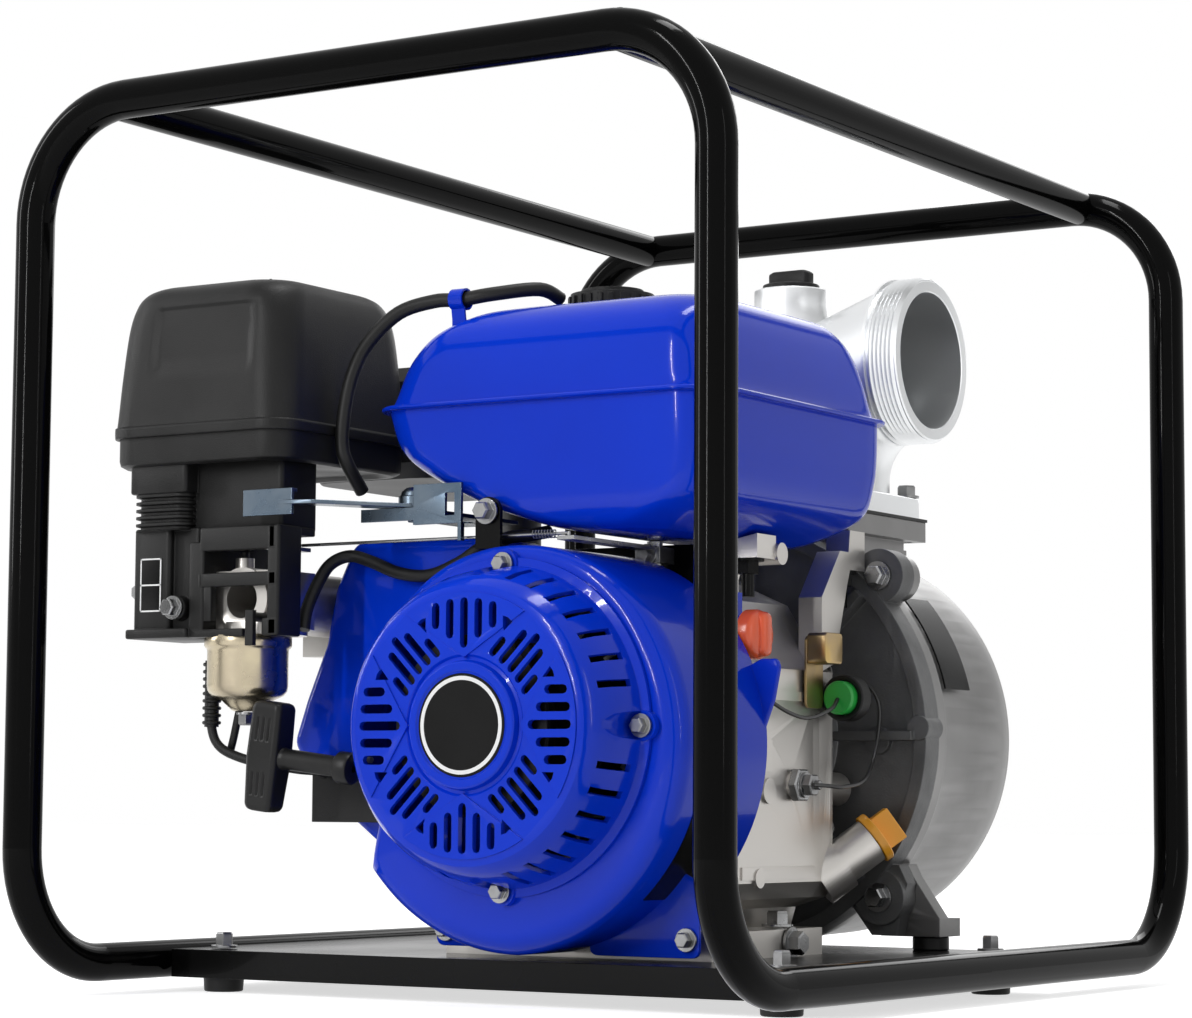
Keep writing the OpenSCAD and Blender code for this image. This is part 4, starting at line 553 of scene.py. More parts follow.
def add_loft(bm: bmesh.types.BMesh, rings: Sequence[Sequence[Vector]], joined: bool = False) -> None:
    """Adds a skin over rings of points to a mesh.

    Args:
        bm: the mesh, in metres.
        rings: the rings, in millimetres, all with the same number of points.
        joined: whether the last ring joins the first again, in place of a face at either end.
    """
    rows = [[bm.verts.new(p * MM) for p in ring] for ring in rings]
    n = len(rows[0])
    pairs = list(zip(rows, rows[1:])) + ([(rows[-1], rows[0])] if joined else [])
    for low, high in pairs:
        for i in range(n):
            j = (i + 1) % n
            bm.faces.new((low[i], low[j], high[j], high[i]))
    if not joined:
        bm.faces.new(rows[0][::-1])
        bm.faces.new(rows[-1])


def add_lathe(bm: bmesh.types.BMesh, profile: Sequence[tuple[float, float]], place: Matrix, count: int = 64,
              closed: bool = False) -> None:
    """Adds a turned shape to a mesh.

    Args:
        bm: the mesh, in metres.
        profile: radius and height pairs, in millimetres, about the Z axis of the place.
        place: where the shape stands, in millimetres.
        count: the number of facets round it.
        closed: whether the profile closes on itself, as for a ring.
    """
    turns = [2 * math.pi * i / count for i in range(count)]
    rings = [[place @ Vector((max(r, 0.01) * math.cos(t), max(r, 0.01) * math.sin(t), z)) for t in turns]
             for r, z in profile]
    add_loft(bm, rings, joined=closed)


def turned_piece(profile: Sequence[Flat], place: Matrix, count: int, closed: bool, name: str,
                 finish: Finish, sharp: float = 32.0, body: str = "frame", replaced: str = "") -> None:
    """Makes a piece that is one turned shape.

    Args:
        profile: radius and height pairs, in millimetres.
        place: where the shape stands, in millimetres.
        count: the number of facets round it.
        closed: whether the profile closes on itself.
        name: the piece's name.
        finish: its finish.
        sharp: faces that meet at more than this angle, in degrees, keep a crisp edge.
        body: the CAD body it rides on.
        replaced: the CAD node that the piece stands for.
    """
    bm = bmesh.new()
    add_lathe(bm, profile, place, count, closed)
    place_piece(bm, name, body, finish, sharp, replaced)


def add_rings(bm: bmesh.types.BMesh, sides: Sequence[float], corner: float, rows: Iterable[Flat], arc: int,
              side: int, place: Matrix = Matrix.Identity(4)) -> None:
    """Adds a skin over rounded rectangles that are drawn in by different amounts.

    Args:
        bm: the mesh, in metres.
        sides: left, right, front and back of the rectangle, in millimetres.
        corner: the corner radius, which stays.
        rows: height and inset of each rectangle.
        arc: the steps round a corner.
        side: the steps along a side.
        place: where the shape stands, in millimetres.
    """
    x0, x1, y0, y1 = sides
    add_loft(bm, [[place @ p for p in rounded_ring(x0 + d, x1 - d, y0 + d, y1 - d, corner, z, arc, side)]
                  for z, d in rows])


def add_bars(bm: bmesh.types.BMesh, rows: Iterable[Sequence[float]], place: Matrix, arc: int,
             middle: float = 0.0) -> None:
    """Adds a tapered bar with rounded sides.

    Args:
        bm: the mesh, in metres.
        rows: height, half width, half length and, where it leans, how far it stands from the axis.
        place: where the bar stands, in millimetres.
        arc: the steps round a corner.
        middle: 1 or -1 for the side to which the bar leans.
    """
    add_loft(bm, [[place @ p for p in rounded_ring(middle * m - l, middle * m + l, -w, w, w * 0.8, z, arc, 3)]
                  for z, w, l, m in rows])


def quarter_turn(point: Point) -> Matrix:
    """Gives the place, in millimetres, whose Z axis points along +X and whose X axis points down."""
    return Matrix.Translation(Vector(point)) @ Matrix.Rotation(math.radians(90), 4, "Y")


def add_block(bm: bmesh.types.BMesh, x0: float, x1: float, y0: float, y1: float, z0: float, z1: float,
              r: float) -> None:
    """Adds a block with rounded upright edges and softened ends, in millimetres.

    Args:
        bm: the mesh, in metres.
        x0: its left.
        x1: its right.
        y0: its front.
        y1: its back.
        z0: its bottom.
        z1: its top.
        r: the rounding.
    """
    r = min(r, (x1 - x0) / 2.1, (y1 - y0) / 2.1)
    soft = min(r * 0.6, 1.4, (z1 - z0) / 4)
    rows = ((z0, soft), (z0 + soft * 0.3, soft * 0.3), (z0 + soft, 0),
            (z1 - soft, 0), (z1 - soft * 0.3, soft * 0.3), (z1, soft))
    add_loft(bm, [rounded_ring(x0 + d, x1 - d, y0 + d, y1 - d, max(r - d, 0.05), z, 5, 2) for z, d in rows])


def facing(point: Point, direction: Point) -> Matrix:
    """Gives the place, in millimetres, whose Z axis points in a direction."""
    turn = Vector(direction).to_track_quat("Z", "Y").to_matrix().to_4x4()
    return Matrix.Translation(Vector(point)) @ turn


def smooth_step(x: float) -> float:
    """Goes smoothly from 0 to 1 while x does."""
    x = min(1.0, max(0.0, x))
    return x * x * (3 - 2 * x)


# ---------------------------------------------------------------- studio
@dataclass
class Studio:
    """The camera, the lamps, the white surroundings and the floor."""

    focal_px: float = 3242.0
    picture_width: float = 1192.0
    azimuth: float = 32.23
    elevation: float = -5.23
    roll: float = 0.34
    eye: Point = (1120.15, -1825.70, 120.24)
    ambient: float = 0.42
    floor_glow: float = 0.66

    def build(self) -> None:
        """Makes everything that stands round the object."""
        self.camera()
        self.world()
        self.floor()
        self.lamps()

    def camera(self) -> None:
        """Sets the camera at the viewing angle that the cage's edges gave."""
        a, e, r = (math.radians(x) for x in (self.azimuth, self.elevation, self.roll))
        ahead = Vector((-math.sin(a) * math.cos(e), math.cos(a) * math.cos(e), -math.sin(e)))
        level = Vector((math.cos(a), math.sin(a), 0.0))
        above = level.cross(ahead)
        right = level * math.cos(r) + above * math.sin(r)
        up = above * math.cos(r) - level * math.sin(r)
        data = bpy.data.cameras.new("Camera")
        data.sensor_width = 36.0
        data.sensor_fit = "HORIZONTAL"
        data.lens = self.focal_px / self.picture_width * data.sensor_width
        data.clip_start, data.clip_end = 0.01, 50.0
        camera = linked("Camera", data)
        turn = Matrix((right, up, -ahead)).transposed().to_4x4()
        camera.matrix_world = Matrix.Translation(metres(self.eye)) @ turn
        bpy.context.scene.camera = camera

    def world(self) -> None:
        """Makes the surroundings white to the eye and in reflections, and softer as a light."""
        world = bpy.data.worlds.new("Surroundings")
        bpy.context.scene.world = world
        world.use_nodes = True
        tree = world.node_tree
        tree.nodes.clear()
        white = (1.0, 1.0, 1.0, 1.0)
        light = add_node(tree, "ShaderNodeBackground", {"Strength": self.ambient, "Color": white})
        seen = add_node(tree, "ShaderNodeBackground", {"Color": white})
        mix = add_node(tree, "ShaderNodeMixShader",
                       {"Fac": seen_directly(tree), 1: light.outputs[0], 2: seen.outputs[0]})
        add_node(tree, "ShaderNodeOutputWorld", {"Surface": mix.outputs[0]})

    def floor(self) -> None:
        """Lays a pale floor that keeps the object's shadow."""
        bm = bmesh.new()
        bmesh.ops.create_grid(bm, x_segments=1, y_segments=1, size=12.0)
        mesh = bpy.data.meshes.new("Floor")
        bm.to_mesh(mesh)
        bm.free()
        floor = linked("Floor", mesh)
        made = bpy.data.materials.new("pale_floor")
        made.use_nodes = True
        tree = made.node_tree
        matt = feed(tree.nodes["Principled BSDF"], {"Base Color": (0.8, 0.8, 0.8, 1.0), "Roughness": 0.9,
                                                    "Specular IOR Level": 0.1})
        share = add_node(tree, "ShaderNodeMath", {0: seen_directly(tree), 1: self.floor_glow},
                         operation="MULTIPLY")
        glow = add_node(tree, "ShaderNodeEmission", {"Strength": share.outputs[0]})
        both = add_node(tree, "ShaderNodeAddShader", {0: matt.outputs[0], 1: glow.outputs[0]})
        feed(tree.nodes["Material Output"], {"Surface": both.outputs[0]})
        mesh.materials.append(made)

    def lamps(self) -> None:
        """Hangs soft lamps left, right, above and in front."""
        centre = Vector((0.0, 0.0, 0.27))
        for name, place, size, power in (
            ("Key", (-0.5, -2.5, 1.25), (0.05, 1.7), 30.0),
            ("Left", (-2.3, -1.2, 1.1), (0.3, 1.4), 18.0),
            ("Right", (2.4, -0.9, 0.9), (0.05, 1.5), 4.0),
            ("Top", (0.2, 0.0, 2.3), (1.0, 0.3), 16.0),
            ("Back", (-0.4, 2.2, 1.3), (1.0, 1.0), 8.0),
        ):
            data = bpy.data.lights.new(name, "AREA")
            data.shape = "RECTANGLE"
            data.size, data.size_y = size
            data.energy = power
            lamp = linked(name, data)
            lamp.location = place
            lamp.rotation_mode = "QUATERNION"
            lamp.rotation_quaternion = (centre - Vector(place)).to_track_quat("-Z", "Y")
        bpy.context.scene.view_settings.view_transform = "Standard"


def seen_directly(tree: bpy.types.NodeTree) -> bpy.types.NodeSocket:
    """Adds a mask that is 1 for camera, glossy and transmission rays.

    Args:
        tree: the node tree of a stage material or of the world.

    Returns:
        The socket with the mask.
    """
    path = add_node(tree, "ShaderNodeLightPath")
    last = path.outputs["Is Camera Ray"]
    for other in ("Is Glossy Ray", "Is Transmission Ray"):
        both = add_node(tree, "ShaderNodeMath", {0: last, 1: path.outputs[other]}, operation="MAXIMUM")
        last = both.outputs[0]
    return last


# ---------------------------------------------------------------- hoses and wires
@dataclass
class Plumbing:
    """The hoses of the fuel, the breather, the vent and the drain, and the wires of the oil alarm."""

    fuel_route: tuple[Point, ...] = (
        (-118, -205, 229), (-119, -200, 243), (-118, -190, 260), (-115, -181, 272), (-105, -174, 277),
        (-90, -172, 273), (-68, -172, 265), (-45, -172, 263), (-22, -173, 270), (-4, -174, 279),
        (14, -173, 284), (27, -166, 286), (32, -154, 288.6),
    )
    breather_route: tuple[Point, ...] = (
        (-98, -172, 318), (-98, -188, 334), (-100.2, -191, 347), (-99, -190, 370), (-96, -186, 392),
        (-90, -178, 412), (-74, -168, 431), (-52, -160, 438), (-34, -157, 438), (-14, -150, 441),
        (8, -130, 445), (12, -112, 441),
    )
    vent_route: tuple[Point, ...] = (
        (-184, -212, 239), (-184, -213, 225), (-183, -214, 210.5), (-183, -215, 190), (-182, -215, 168),
        (-176, -214, 156), (-162, -210, 149), (-144, -204, 145), (-129, -194, 142), (-120, -186, 141),
        (-118, -179.9, 139),
    )
    drain_route: tuple[Point, ...] = (
        (-163, -207, 198), (-163.5, -208, 187), (-166, -209, 174), (-170, -208, 161), (-175, -206, 150),
    )
    stop_wire: tuple[Point, ...] = (
        (129, -83, 213.7), (131.7, -82.5, 208.6), (136, -79, 198), (140, -62, 184), (144, -30, 176),
        (146, 0, 182), (145, 11.7, 189),
    )
    level_wire: tuple[Point, ...] = (
        (145, 30.3, 192), (145, 50, 200), (147, 66, 186), (149, 56, 156), (157, 26, 138), (157, -2, 133),
        (153, -16, 133.6), (149.9, -30, 134),
    )

    def build(self) -> None:
        for name, points, radius, slot, finish, nodes in (
            ("fuel_line", self.fuel_route, 4.0, "rubber", RUBBER, ("fuel_hose",)),
            ("breather_line", self.breather_route, 4.5, "rubber", RUBBER, ("breather_hose",)),
            ("vent_line", self.vent_route, 3.0, "rubber", RUBBER, ()),
            ("drain_line", self.drain_route, 2.5, "rubber", RUBBER, ()),
            ("stop_lead", self.stop_wire, 1.3, "wire", WIRE_BLACK, ()),
            ("level_lead", self.level_wire, 1.3, "wire", WIRE_BLACK, ("switch_wires",)),
        ):
            route = hermite_route(points, 6)
            piece = tube_piece(route, radius, name, "frame", finish)
            if nodes:
                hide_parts(*nodes)
            LOG.info("%s: %.0f mm long", name, route_length(route) * 1000)
        self.sleeve()

    def sleeve(self) -> None:
        """Makes the ribbed sleeve over the upper half of the vent hose."""
        profile = [(3.1, 0.0), (4.6, 0.0)]
        for k in range(9):
            low = 1.2 + 4.6 * k
            profile += [(4.6, low), (5.6, low + 0.3), (6.0, low + 0.9), (6.0, low + 1.7), (5.6, low + 2.3),
                        (4.6, low + 2.6)]
        profile += [(4.6, 42.0), (3.1, 42.0)]
        turned_piece(profile, facing(self.vent_route[2], DOWN), 32, True, "vent_sleeve", RUBBER, 50)


# ---------------------------------------------------------------- fuel tank
@dataclass
class FuelTank:
    """The pressed tank with its seam, the dish round the cap and the clip of the breather hose."""

    left: float = -79.0
    right: float = 165.0
    front: float = -187.0
    back: float = 49.0
    seam: float = 367.0
    corner: float = 26.0
    dish_z: float = 421.0
    cap: tuple[float, float] = (28.0, -75.0)
    neck_r: float = 22.0
    clip: Point = (-34, -157, 438)
    clip_r: float = 6.4
    # height above the seam, then how far each side is drawn in: left, right, front, back
    levels: tuple[tuple[float, ...], ...] = (
        (-80, 138, 52, 18, 20), (-76, 116, 40, 10, 12), (-68, 90, 20, 5, 7), (-58, 64, 6, 3, 5),
        (-40, 28, 1, 2, 3), (-24, 9, 0, 1, 1), (0, 0, 0, 0, 0), (8, 4, 4, 2, 2), (30, 12, 8, 6, 8),
        (48, 26, 13, 13, 18), (60, 46, 21, 27, 32), (65, 64, 33, 45, 48),
    )

    def build(self) -> None:
        """Makes the tank as one closed shell, and the clip on it."""
        bm = bmesh.new()
        rings = [self.level(row) for row in blended_rows(self.levels, 6, crisp=(6,))]
        add_loft(bm, rings + self.top(rings[-1]))
        self.seam_flange(bm)
        place_piece(bm, "tank_shell", "frame", ROYAL_BLUE, 40, "fuel_tank")
        self.hose_clip()

    def level(self, row: Sequence[float]) -> list[Vector]:
        """Gives the ring of points at one level."""
        z, l, r, f, b = row
        ring = rounded_ring(self.left + l, self.right - r, self.front + f, self.back - b, self.corner,
                            self.seam + z)
        return [self.dished(p) for p in ring]

    def dished(self, point: Vector) -> Vector:
        """Lowers a point of the top into the dish round the cap."""
        away = (Vector(point[:2]) - Vector(self.cap)).length
        limit = self.dish_z + 22 * smooth_step((away - 41) / 16)
        soft = 1.6
        gap = point.z - limit
        lower = 0.5 * (gap + math.sqrt(gap * gap + soft * soft))
        if away > 60:
            lower = 0.0
        return Vector((point.x, point.y, point.z - lower))

    def top(self, ring: Sequence[Vector]) -> list[list[Vector]]:
        """Closes the top with rings that shrink to the filler neck.

        Args:
            ring: the highest ring of the shoulder.

        Returns:
            The rings of the top, the neck and its mouth.
        """
        centre = Vector((*self.cap, 0.0))
        top_z = self.seam + self.levels[-1][0]
        rings = []
        flat = [Vector((p.x, p.y, top_z)) for p in ring]
        neck = [self.neck_point(p, centre, self.neck_r, top_z) for p in ring]
        for k in range(1, 29):
            rings.append([self.dished(p.lerp(q, k / 28)) for p, q in zip(flat, neck)])
        for r, z in ((22, 429), (21, 430), (19, 430), (18.6, 429), (18.6, 405)):
            rings.append([self.neck_point(p, centre, r, z) for p in ring])
        return rings

    def neck_point(self, p: Vector, centre: Vector, r: float, z: float) -> Vector:
        """Gives the point of the neck in the direction of p, from the cap's centre."""
        return centre + Vector((p.x - centre.x, p.y - centre.y, 0.0)).normalized() * r + Vector((0, 0, z))

    def seam_flange(self, bm: bmesh.types.BMesh) -> None:
        """Adds the folded seam that runs round the tank."""
        rows = ((-2, 1.6), (4.2, 1.4), (5, 0.6), (5, -0.4), (4.2, -1.2), (-2, -1.4))
        rings = [rounded_ring(self.left - out, self.right + out, self.front - out, self.back + out,
                              self.corner + out, self.seam + 0.5 + z) for out, z in rows]
        add_loft(bm, rings, joined=True)

    def hose_clip(self) -> None:
        """Makes the strap on the shoulder that holds the breather hose."""
        bm = bmesh.new()
        x, y, z = self.clip
        rows = [polar(self.clip_r, -70 + 320 * k / 14) for k in range(15)] + [(-1, -13), (-1, -28)]
        path = [Vector((x, y + across, z + above)) for across, above in rows]
        rings = []
        for i, p in enumerate(path):
            ahead = (path[min(i + 1, len(path) - 1)] - path[max(i - 1, 0)]).normalized()
            out = ahead.cross(Vector((1, 0, 0)))
            rings.append([p + Vector((x, 0, 0)) + out * o for x, o in
                          ((-5, -0.7), (5, -0.7), (5, 0.7), (-5, 0.7))])
        add_loft(bm, rings)
        place_piece(bm, "hose_clip", "frame", ROYAL_BLUE, 50)


# ---------------------------------------------------------------- air cleaner
@dataclass
class AirCleaner:
    """The textured cover with its blank panel, the wing nut and the framed housing below."""

    nut: tuple[float, float] = (-173.5, -170.0)
    centre: tuple[float, float] = (-177.5, -174.0)
    size: tuple[float, float] = (145.0, 148.0)
    panel: tuple[float, float, float, float] = (-210.0, -133.0, 393.0, 434.0)
    panel_depth: float = 1.8
    # height, how far the sides are drawn in, and the corner radius
    levels: tuple[tuple[float, ...], ...] = (
        (352, 0.4, 22), (353, 0, 22), (359, 0, 22), (360, 0.9, 22), (392, 2.8, 23), (422, 5.2, 24),
        (437, 8, 25), (445, 12, 25), (449.4, 19, 23), (451, 28, 20), (451.2, 42, 16),
    )
    dish_levels: tuple[tuple[float, float], ...] = (
        (24.5, 451.2), (23.6, 450.9), (23, 450.2), (22.6, 441), (22, 440.3), (21, 440), (3.4, 440),
        (3.4, 437),
    )
    hub: tuple[Flat, ...] = (
        (3.1, 440.2), (7, 440.2), (7, 443.6), (6.4, 444.4), (5, 446), (5, 456), (4.2, 457), (3.1, 457),
    )
    # a wing of the nut: height, half width, half length, distance from the axis
    nut_wing: tuple[tuple[float, ...], ...] = (
        (446, 2, 4.2, 6.4), (450, 1.9, 4.4, 7.6), (455, 1.7, 4.6, 10), (457.4, 1.4, 4, 11.4),
        (458.6, 0.8, 2.8, 11.8),
    )
    nut_degrees: float = 122.0
    # the tray below the cover: height and inset
    tray: tuple[Flat, ...] = (
        (336, 12), (333.4, 9), (333.2, 6), (335, 3.4), (338, 2.8), (356.4, 2.8), (356.4, 5), (340, 6),
        (337, 12),
    )
    bellows: tuple[float, ...] = (-230.6, -186, -240.6, -172)
    # the housing: left, right, front, back, bottom, top, rounding of each block
    blocks: tuple[tuple[float, ...], ...] = (
        (-231, -185, -241.5, -170, 316, 337, 3), (-190, -118, -229, -192, 291, 337, 3),
        (-229.5, -200, -238, -168, 226, 294, 3), (-206, -180, -233, -168, 226, 294, 2.4),
        (-184, -172, -238.5, -168, 228, 284, 2), (-176, -114, -238.5, -232.5, 278, 293, 2.4),
        (-176, -114, -238.5, -232.5, 255.5, 264, 1.5), (-172, -166, -238, -232.5, 234, 256, 1),
        (-122, -112.5, -238.5, -214, 224, 293, 2.4), (-184, -140, -238.5, -232.5, 224, 229, 1.2),
        (-126, -113, -238.5, -232.5, 224, 235, 2), (-233, -183, -241.5, -182, 224, 230, 2),
        (-176, -116, -234, -196, 288, 293, 1.5),
    )
    bosses: tuple[tuple[Point, Point, float, float], ...] = (
        ((-193, -240.5, 243), (0, -1, 0), 7.8, 12), ((-231.5, -222, 255), (-1, 0, 0), 7, 8),
    )
    label: tuple[float, ...] = (-223, -206, 241, 275)

    def build(self) -> None:
        """Makes the cover and the band of the tray below it."""
        bm = bmesh.new()
        outer = [self.level(row, 0.0) for row in blended_rows(self.levels, 6)]
        inner = [self.level((row[0], row[1] + 2.5, max(row[2] - 2.5, 4)), 1.0) for row in self.levels[:7]]
        add_loft(bm, inner[::-1] + outer + self.dish(outer[-1]))
        place_piece(bm, "cleaner_cover", "filter_cover",
                            BLACK_PLASTIC, 40, replaced="air_cleaner_cover")
        self.housing()
        self.nut_piece()
        LOG.info("air cleaner built")

    def nut_piece(self) -> None:
        """Makes the wing nut that holds the cover."""
        bm = bmesh.new()
        turn = Matrix.Translation((*self.nut, 0)) @ Matrix.Rotation(math.radians(self.nut_degrees), 4, "Z")
        add_lathe(bm, self.hub, turn, 32, closed=True)
        for side in (-1, 1):
            add_bars(bm, self.nut_wing, turn, 4, side)
        place_piece(bm, "cover_nut", body_of("wing_nut"), BLACK_PLASTIC, 40, "wing_nut")

    def housing(self) -> None:
        """Makes the tray, the bellows and the framed housing round the carburettor."""
        bm = bmesh.new()
        cx, cy = self.centre
        w, l = self.size[0] / 2, self.size[1] / 2
        add_rings(bm, (cx - w, cx + w, cy - l, cy + l), 20, self.tray, 8, 12)
        for block in self.blocks:
            add_block(bm, *block)
        ribs = [(316.4, 1.6)]
        for top in (315.6 - 4.6 * k for k in range(5)):
            ribs += [(top, 0), (top - 1.6, 0), (top - 2.3, 2.2), (top - 3.9, 2.2)]
        add_rings(bm, self.bellows, 9, ribs + [(292.6, 0)], 8, 10)
        for seat, way, r, length in self.bosses:
            profile = [(0, -length), (r, -length), (r, -0.8), (r - 0.8, 0), (0, 0)]
            add_lathe(bm, profile, facing(seat, way), 40)
        place_piece(bm, "cleaner_housing", body_of("air_cleaner_base"), BLACK_PLASTIC, 40,
                    "air_cleaner_base")
        bolt_piece("housing_bolts", [(seat, way) for seat, way, *_ in self.bosses], 10, 5.5, 7.4)
        self.bare_label()

    def bare_label(self) -> None:
        """Makes the plate beside the bolt, and the pale frame printed on it."""
        x0, x1, z0, z1 = self.label
        back, line, middle = -238.5, 1, (z0 + z1) / 2
        bm = bmesh.new()
        add_block(bm, x0, x1, back, back + 1, z0, z1, 0.5)
        place_piece(bm, "label_plate", "frame", LABEL_BLACK)
        bm = bmesh.new()
        for a0, a1, b0, b1 in ((x0, x1, z0, z0 + line), (x0, x1, z1 - line, z1), (x0, x0 + line, z0, z1),
                               (x1 - line, x1, z0, z1), (x0, x1, middle - line / 2, middle + line / 2)):
            add_block(bm, a0, a1, back - 0.15, back + 0.3, b0, b1, 0.1)
        place_piece(bm, "label_frame", "frame", RING_WHITE)

    def dish(self, ring: Sequence[Vector]) -> list[list[Vector]]:
        """Sinks a round dish into the top, where the nut sits.

        Args:
            ring: the last ring of the top.

        Returns:
            The rings of the dish, from its rim to its middle.
        """
        centre = Vector((*self.nut, 0.0))
        rings = []
        for r, z in self.dish_levels:
            rings.append([centre + (Vector((p.x, p.y, 0)) - centre).normalized() * r + Vector((0, 0, z))
                          for p in ring])
        return rings

    def level(self, row: Sequence[float], inside: float) -> list[Vector]:
        """Gives the ring of one level, with the panel pressed into its front.

        Args:
            row: height, inset and corner radius.
            inside: 1 for the inner wall, which has no panel.

        Returns:
            The points.
        """
        z, inset, r = row
        cx, cy = self.centre
        w, l = self.size[0] / 2 - inset, self.size[1] / 2 - inset
        ring = rounded_ring(cx - w, cx + w, cy - l, cy + l, r, z, 8, 34)
        if inside:
            return ring
        x0, x1, z0, z1 = self.panel
        out = []
        for p in ring:
            depth = 0.0
            if p.y < cy - l + 0.5:
                across = smooth_step(min(p.x - x0, x1 - p.x) / 2.4 + 0.5)
                upright = smooth_step(min(z - z0, z1 - z) / 2.4 + 0.5)
                depth = self.panel_depth * across * upright
            out.append(Vector((p.x, p.y + depth, p.z)))
        return out


# ---------------------------------------------------------------- outlines in the plane of the flywheel
CRANK = Vector((35.0, 0.0, 167.0))


def polar(r: float, degrees: float) -> Flat:
    """Gives the flat point at a radius and an angle."""
    return (r * math.cos(math.radians(degrees)), r * math.sin(math.radians(degrees)))


def rounded_outline(points: Sequence[Flat], radius: float) -> list[Vector]:
    """Rounds the corners of an outline.

    Args:
        points: the corners.
        radius: the rounding, smaller where a side is short.

    Returns:
        The points of the rounded outline.
    """
    out = []
    n = len(points)
    for i in range(n):
        a, b, c = (Vector(points[k % n]) for k in (i - 1, i, i + 1))
        before, after = a - b, c - b
        half = before.angle(after) / 2
        reach = min(radius / math.tan(half), before.length * 0.45, after.length * 0.45)
        start, end = b + before.normalized() * reach, b + after.normalized() * reach
        for t in (k / 6 for k in range(7)):
            out.append((1 - t) ** 2 * start + 2 * t * (1 - t) * b + t**2 * end)
    return out


def drawn_in(outline: Sequence[Vector], inset: float) -> list[Vector]:
    """Moves each point of an outline inwards.

    Args:
        outline: the points, in either direction round.
        inset: how far; a negative value moves them outwards.

    Returns:
        The moved points.
    """
    n = len(outline)
    area = sum(outline[i - 1].x * outline[i].y - outline[i].x * outline[i - 1].y for i in range(n))
    out = []
    for i in range(n):
        along = outline[(i + 1) % n] - outline[i - 1]
        if along.length < 1e-9:
            along = Vector((1, 0))
        normal = Vector((-along.y, along.x)).normalized() * (1 if area > 0 else -1)
        out.append(outline[i] + normal * inset)
    return out


def upright(outline: Sequence[Vector], y: float) -> list[Vector]:
    """Stands a flat outline round the crankshaft axis at a depth."""
    return [CRANK + Vector((p.x, y, p.y)) for p in outline]


def pressed_edge(outline: Sequence[Vector], y0: float, fillet: float, steps: int) -> list[list[Vector]]:
    """Gives the rings of a rounded front edge.

    Args:
        outline: the outline in the plane of the flywheel, in millimetres.
        y0: the front.
        fillet: the rounding.
        steps: the facets of the rounding.

    Returns:
        The rings, from the front to the full outline.
    """
    turns = [math.pi / 2 * k / steps for k in range(steps + 1)]
    return [upright(drawn_in(outline, fillet * (1 - math.sin(t))), y0 + fillet * (1 - math.cos(t)))
            for t in turns]


def add_pressed(bm: bmesh.types.BMesh, outline: Sequence[Vector], y0: float, y1: float, fillet: float,
                steps: int) -> None:
    """Adds a slab from y0 back to y1, with a rounded front edge, to a mesh in metres."""
    add_loft(bm, pressed_edge(outline, y0, fillet, steps) + [upright(outline, y1)])


# ---------------------------------------------------------------- fan shroud
@dataclass
class Shroud:
    """The pressed fan housing round the flywheel and its wing over the cylinder."""

    front: float = -203.0
    rear: float = -100.0
    wing_front: float = -165.0
    r0: float = 110.0
    r1: float = 136.5
    mouth_r: float = 90.0
    seat_r: float = 103.0
    wall: float = 2.4
    fillet: float = 14.0
    wing_fillet: float = 6.0
    wing: tuple[Flat, ...] = (
        (0, 40), (-22, 106), (-48, 120), (-145, 120), (-160, 90), (-167, 55), (-182, 20), (-192, -8),
        (-172, -36), (-112, -80), (-60, -100), (0, -60),
    )
    feet: tuple[tuple[Flat, ...], ...] = (
        ((40, -60), (104, -92), (104, -137), (26, -137)), ((-40, -60), (-86, -70), (-86, -134), (-26, -134)),
    )
    foot_y: tuple[float, float] = (-152.0, -149.6)
    ear: tuple[Flat, ...] = (
        (104, 20), (108, 38), (118, 43), (129, 43), (131, 38), (127, 18), (120, 0), (114, -14), (100, -10),
    )

    def radius(self, degrees: float) -> float:
        """Gives the radius of the housing at an angle, counted down from 90 at the top."""
        if degrees >= -140:
            return self.r0 + (self.r1 - self.r0) * min(1.0, max(0.0, (90 - degrees) / 180)) ** 1.3
        share = min(1.0, (-140 - degrees) / 10)
        low = self.r0 + 4 * (270 + min(degrees, -150)) / 120
        return self.r1 + (low - self.r1) * share

    def section(self, degrees: float) -> list[Vector]:
        """Gives the closed section of the drum at an angle."""
        r = self.radius(degrees)
        bend = min(self.fillet, r - self.seat_r)
        rows = [(self.mouth_r, self.front + self.wall), (self.mouth_r, self.front + 0.6),
                (self.mouth_r + 0.6, self.front), (self.seat_r - 1, self.front)]
        rows += [(r - bend + bend * math.sin(t), self.front + bend - bend * math.cos(t))
                 for t in (math.pi / 2 * k / 7 for k in range(8))]
        rows += [(r, self.rear), (r - self.wall, self.rear), (r - self.wall, self.front + bend),
                 (r - bend, self.front + self.wall)]
        return [CRANK + Vector((polar(q, degrees)[0], y, polar(q, degrees)[1])) for q, y in rows]

    def build(self) -> None:
        """Makes the drum, the wing and the two feet."""
        bm = bmesh.new()
        add_loft(bm, [self.section(90 - 2.5 * k) for k in range(144)], joined=True)
        outline = rounded_outline(self.wing, 12)
        inner = drawn_in(outline, self.wall)
        rings = pressed_edge(outline, self.wing_front, self.wing_fillet, 5)
        rings += [upright(outline, self.rear), upright(inner, self.rear),
                  upright(inner, self.wing_front + self.wall + 1)]
        add_loft(bm, rings)
        for foot in self.feet:
            add_pressed(bm, rounded_outline(foot, 6), *self.foot_y, 0.8, 2)
        add_pressed(bm, rounded_outline(self.ear, 5), self.rear - 3, self.rear, 1.2, 3)
        place_piece(bm, "shroud_shell", "frame", ROYAL_BLUE, replaced="fan_shroud")
        LOG.info("fan shroud built")


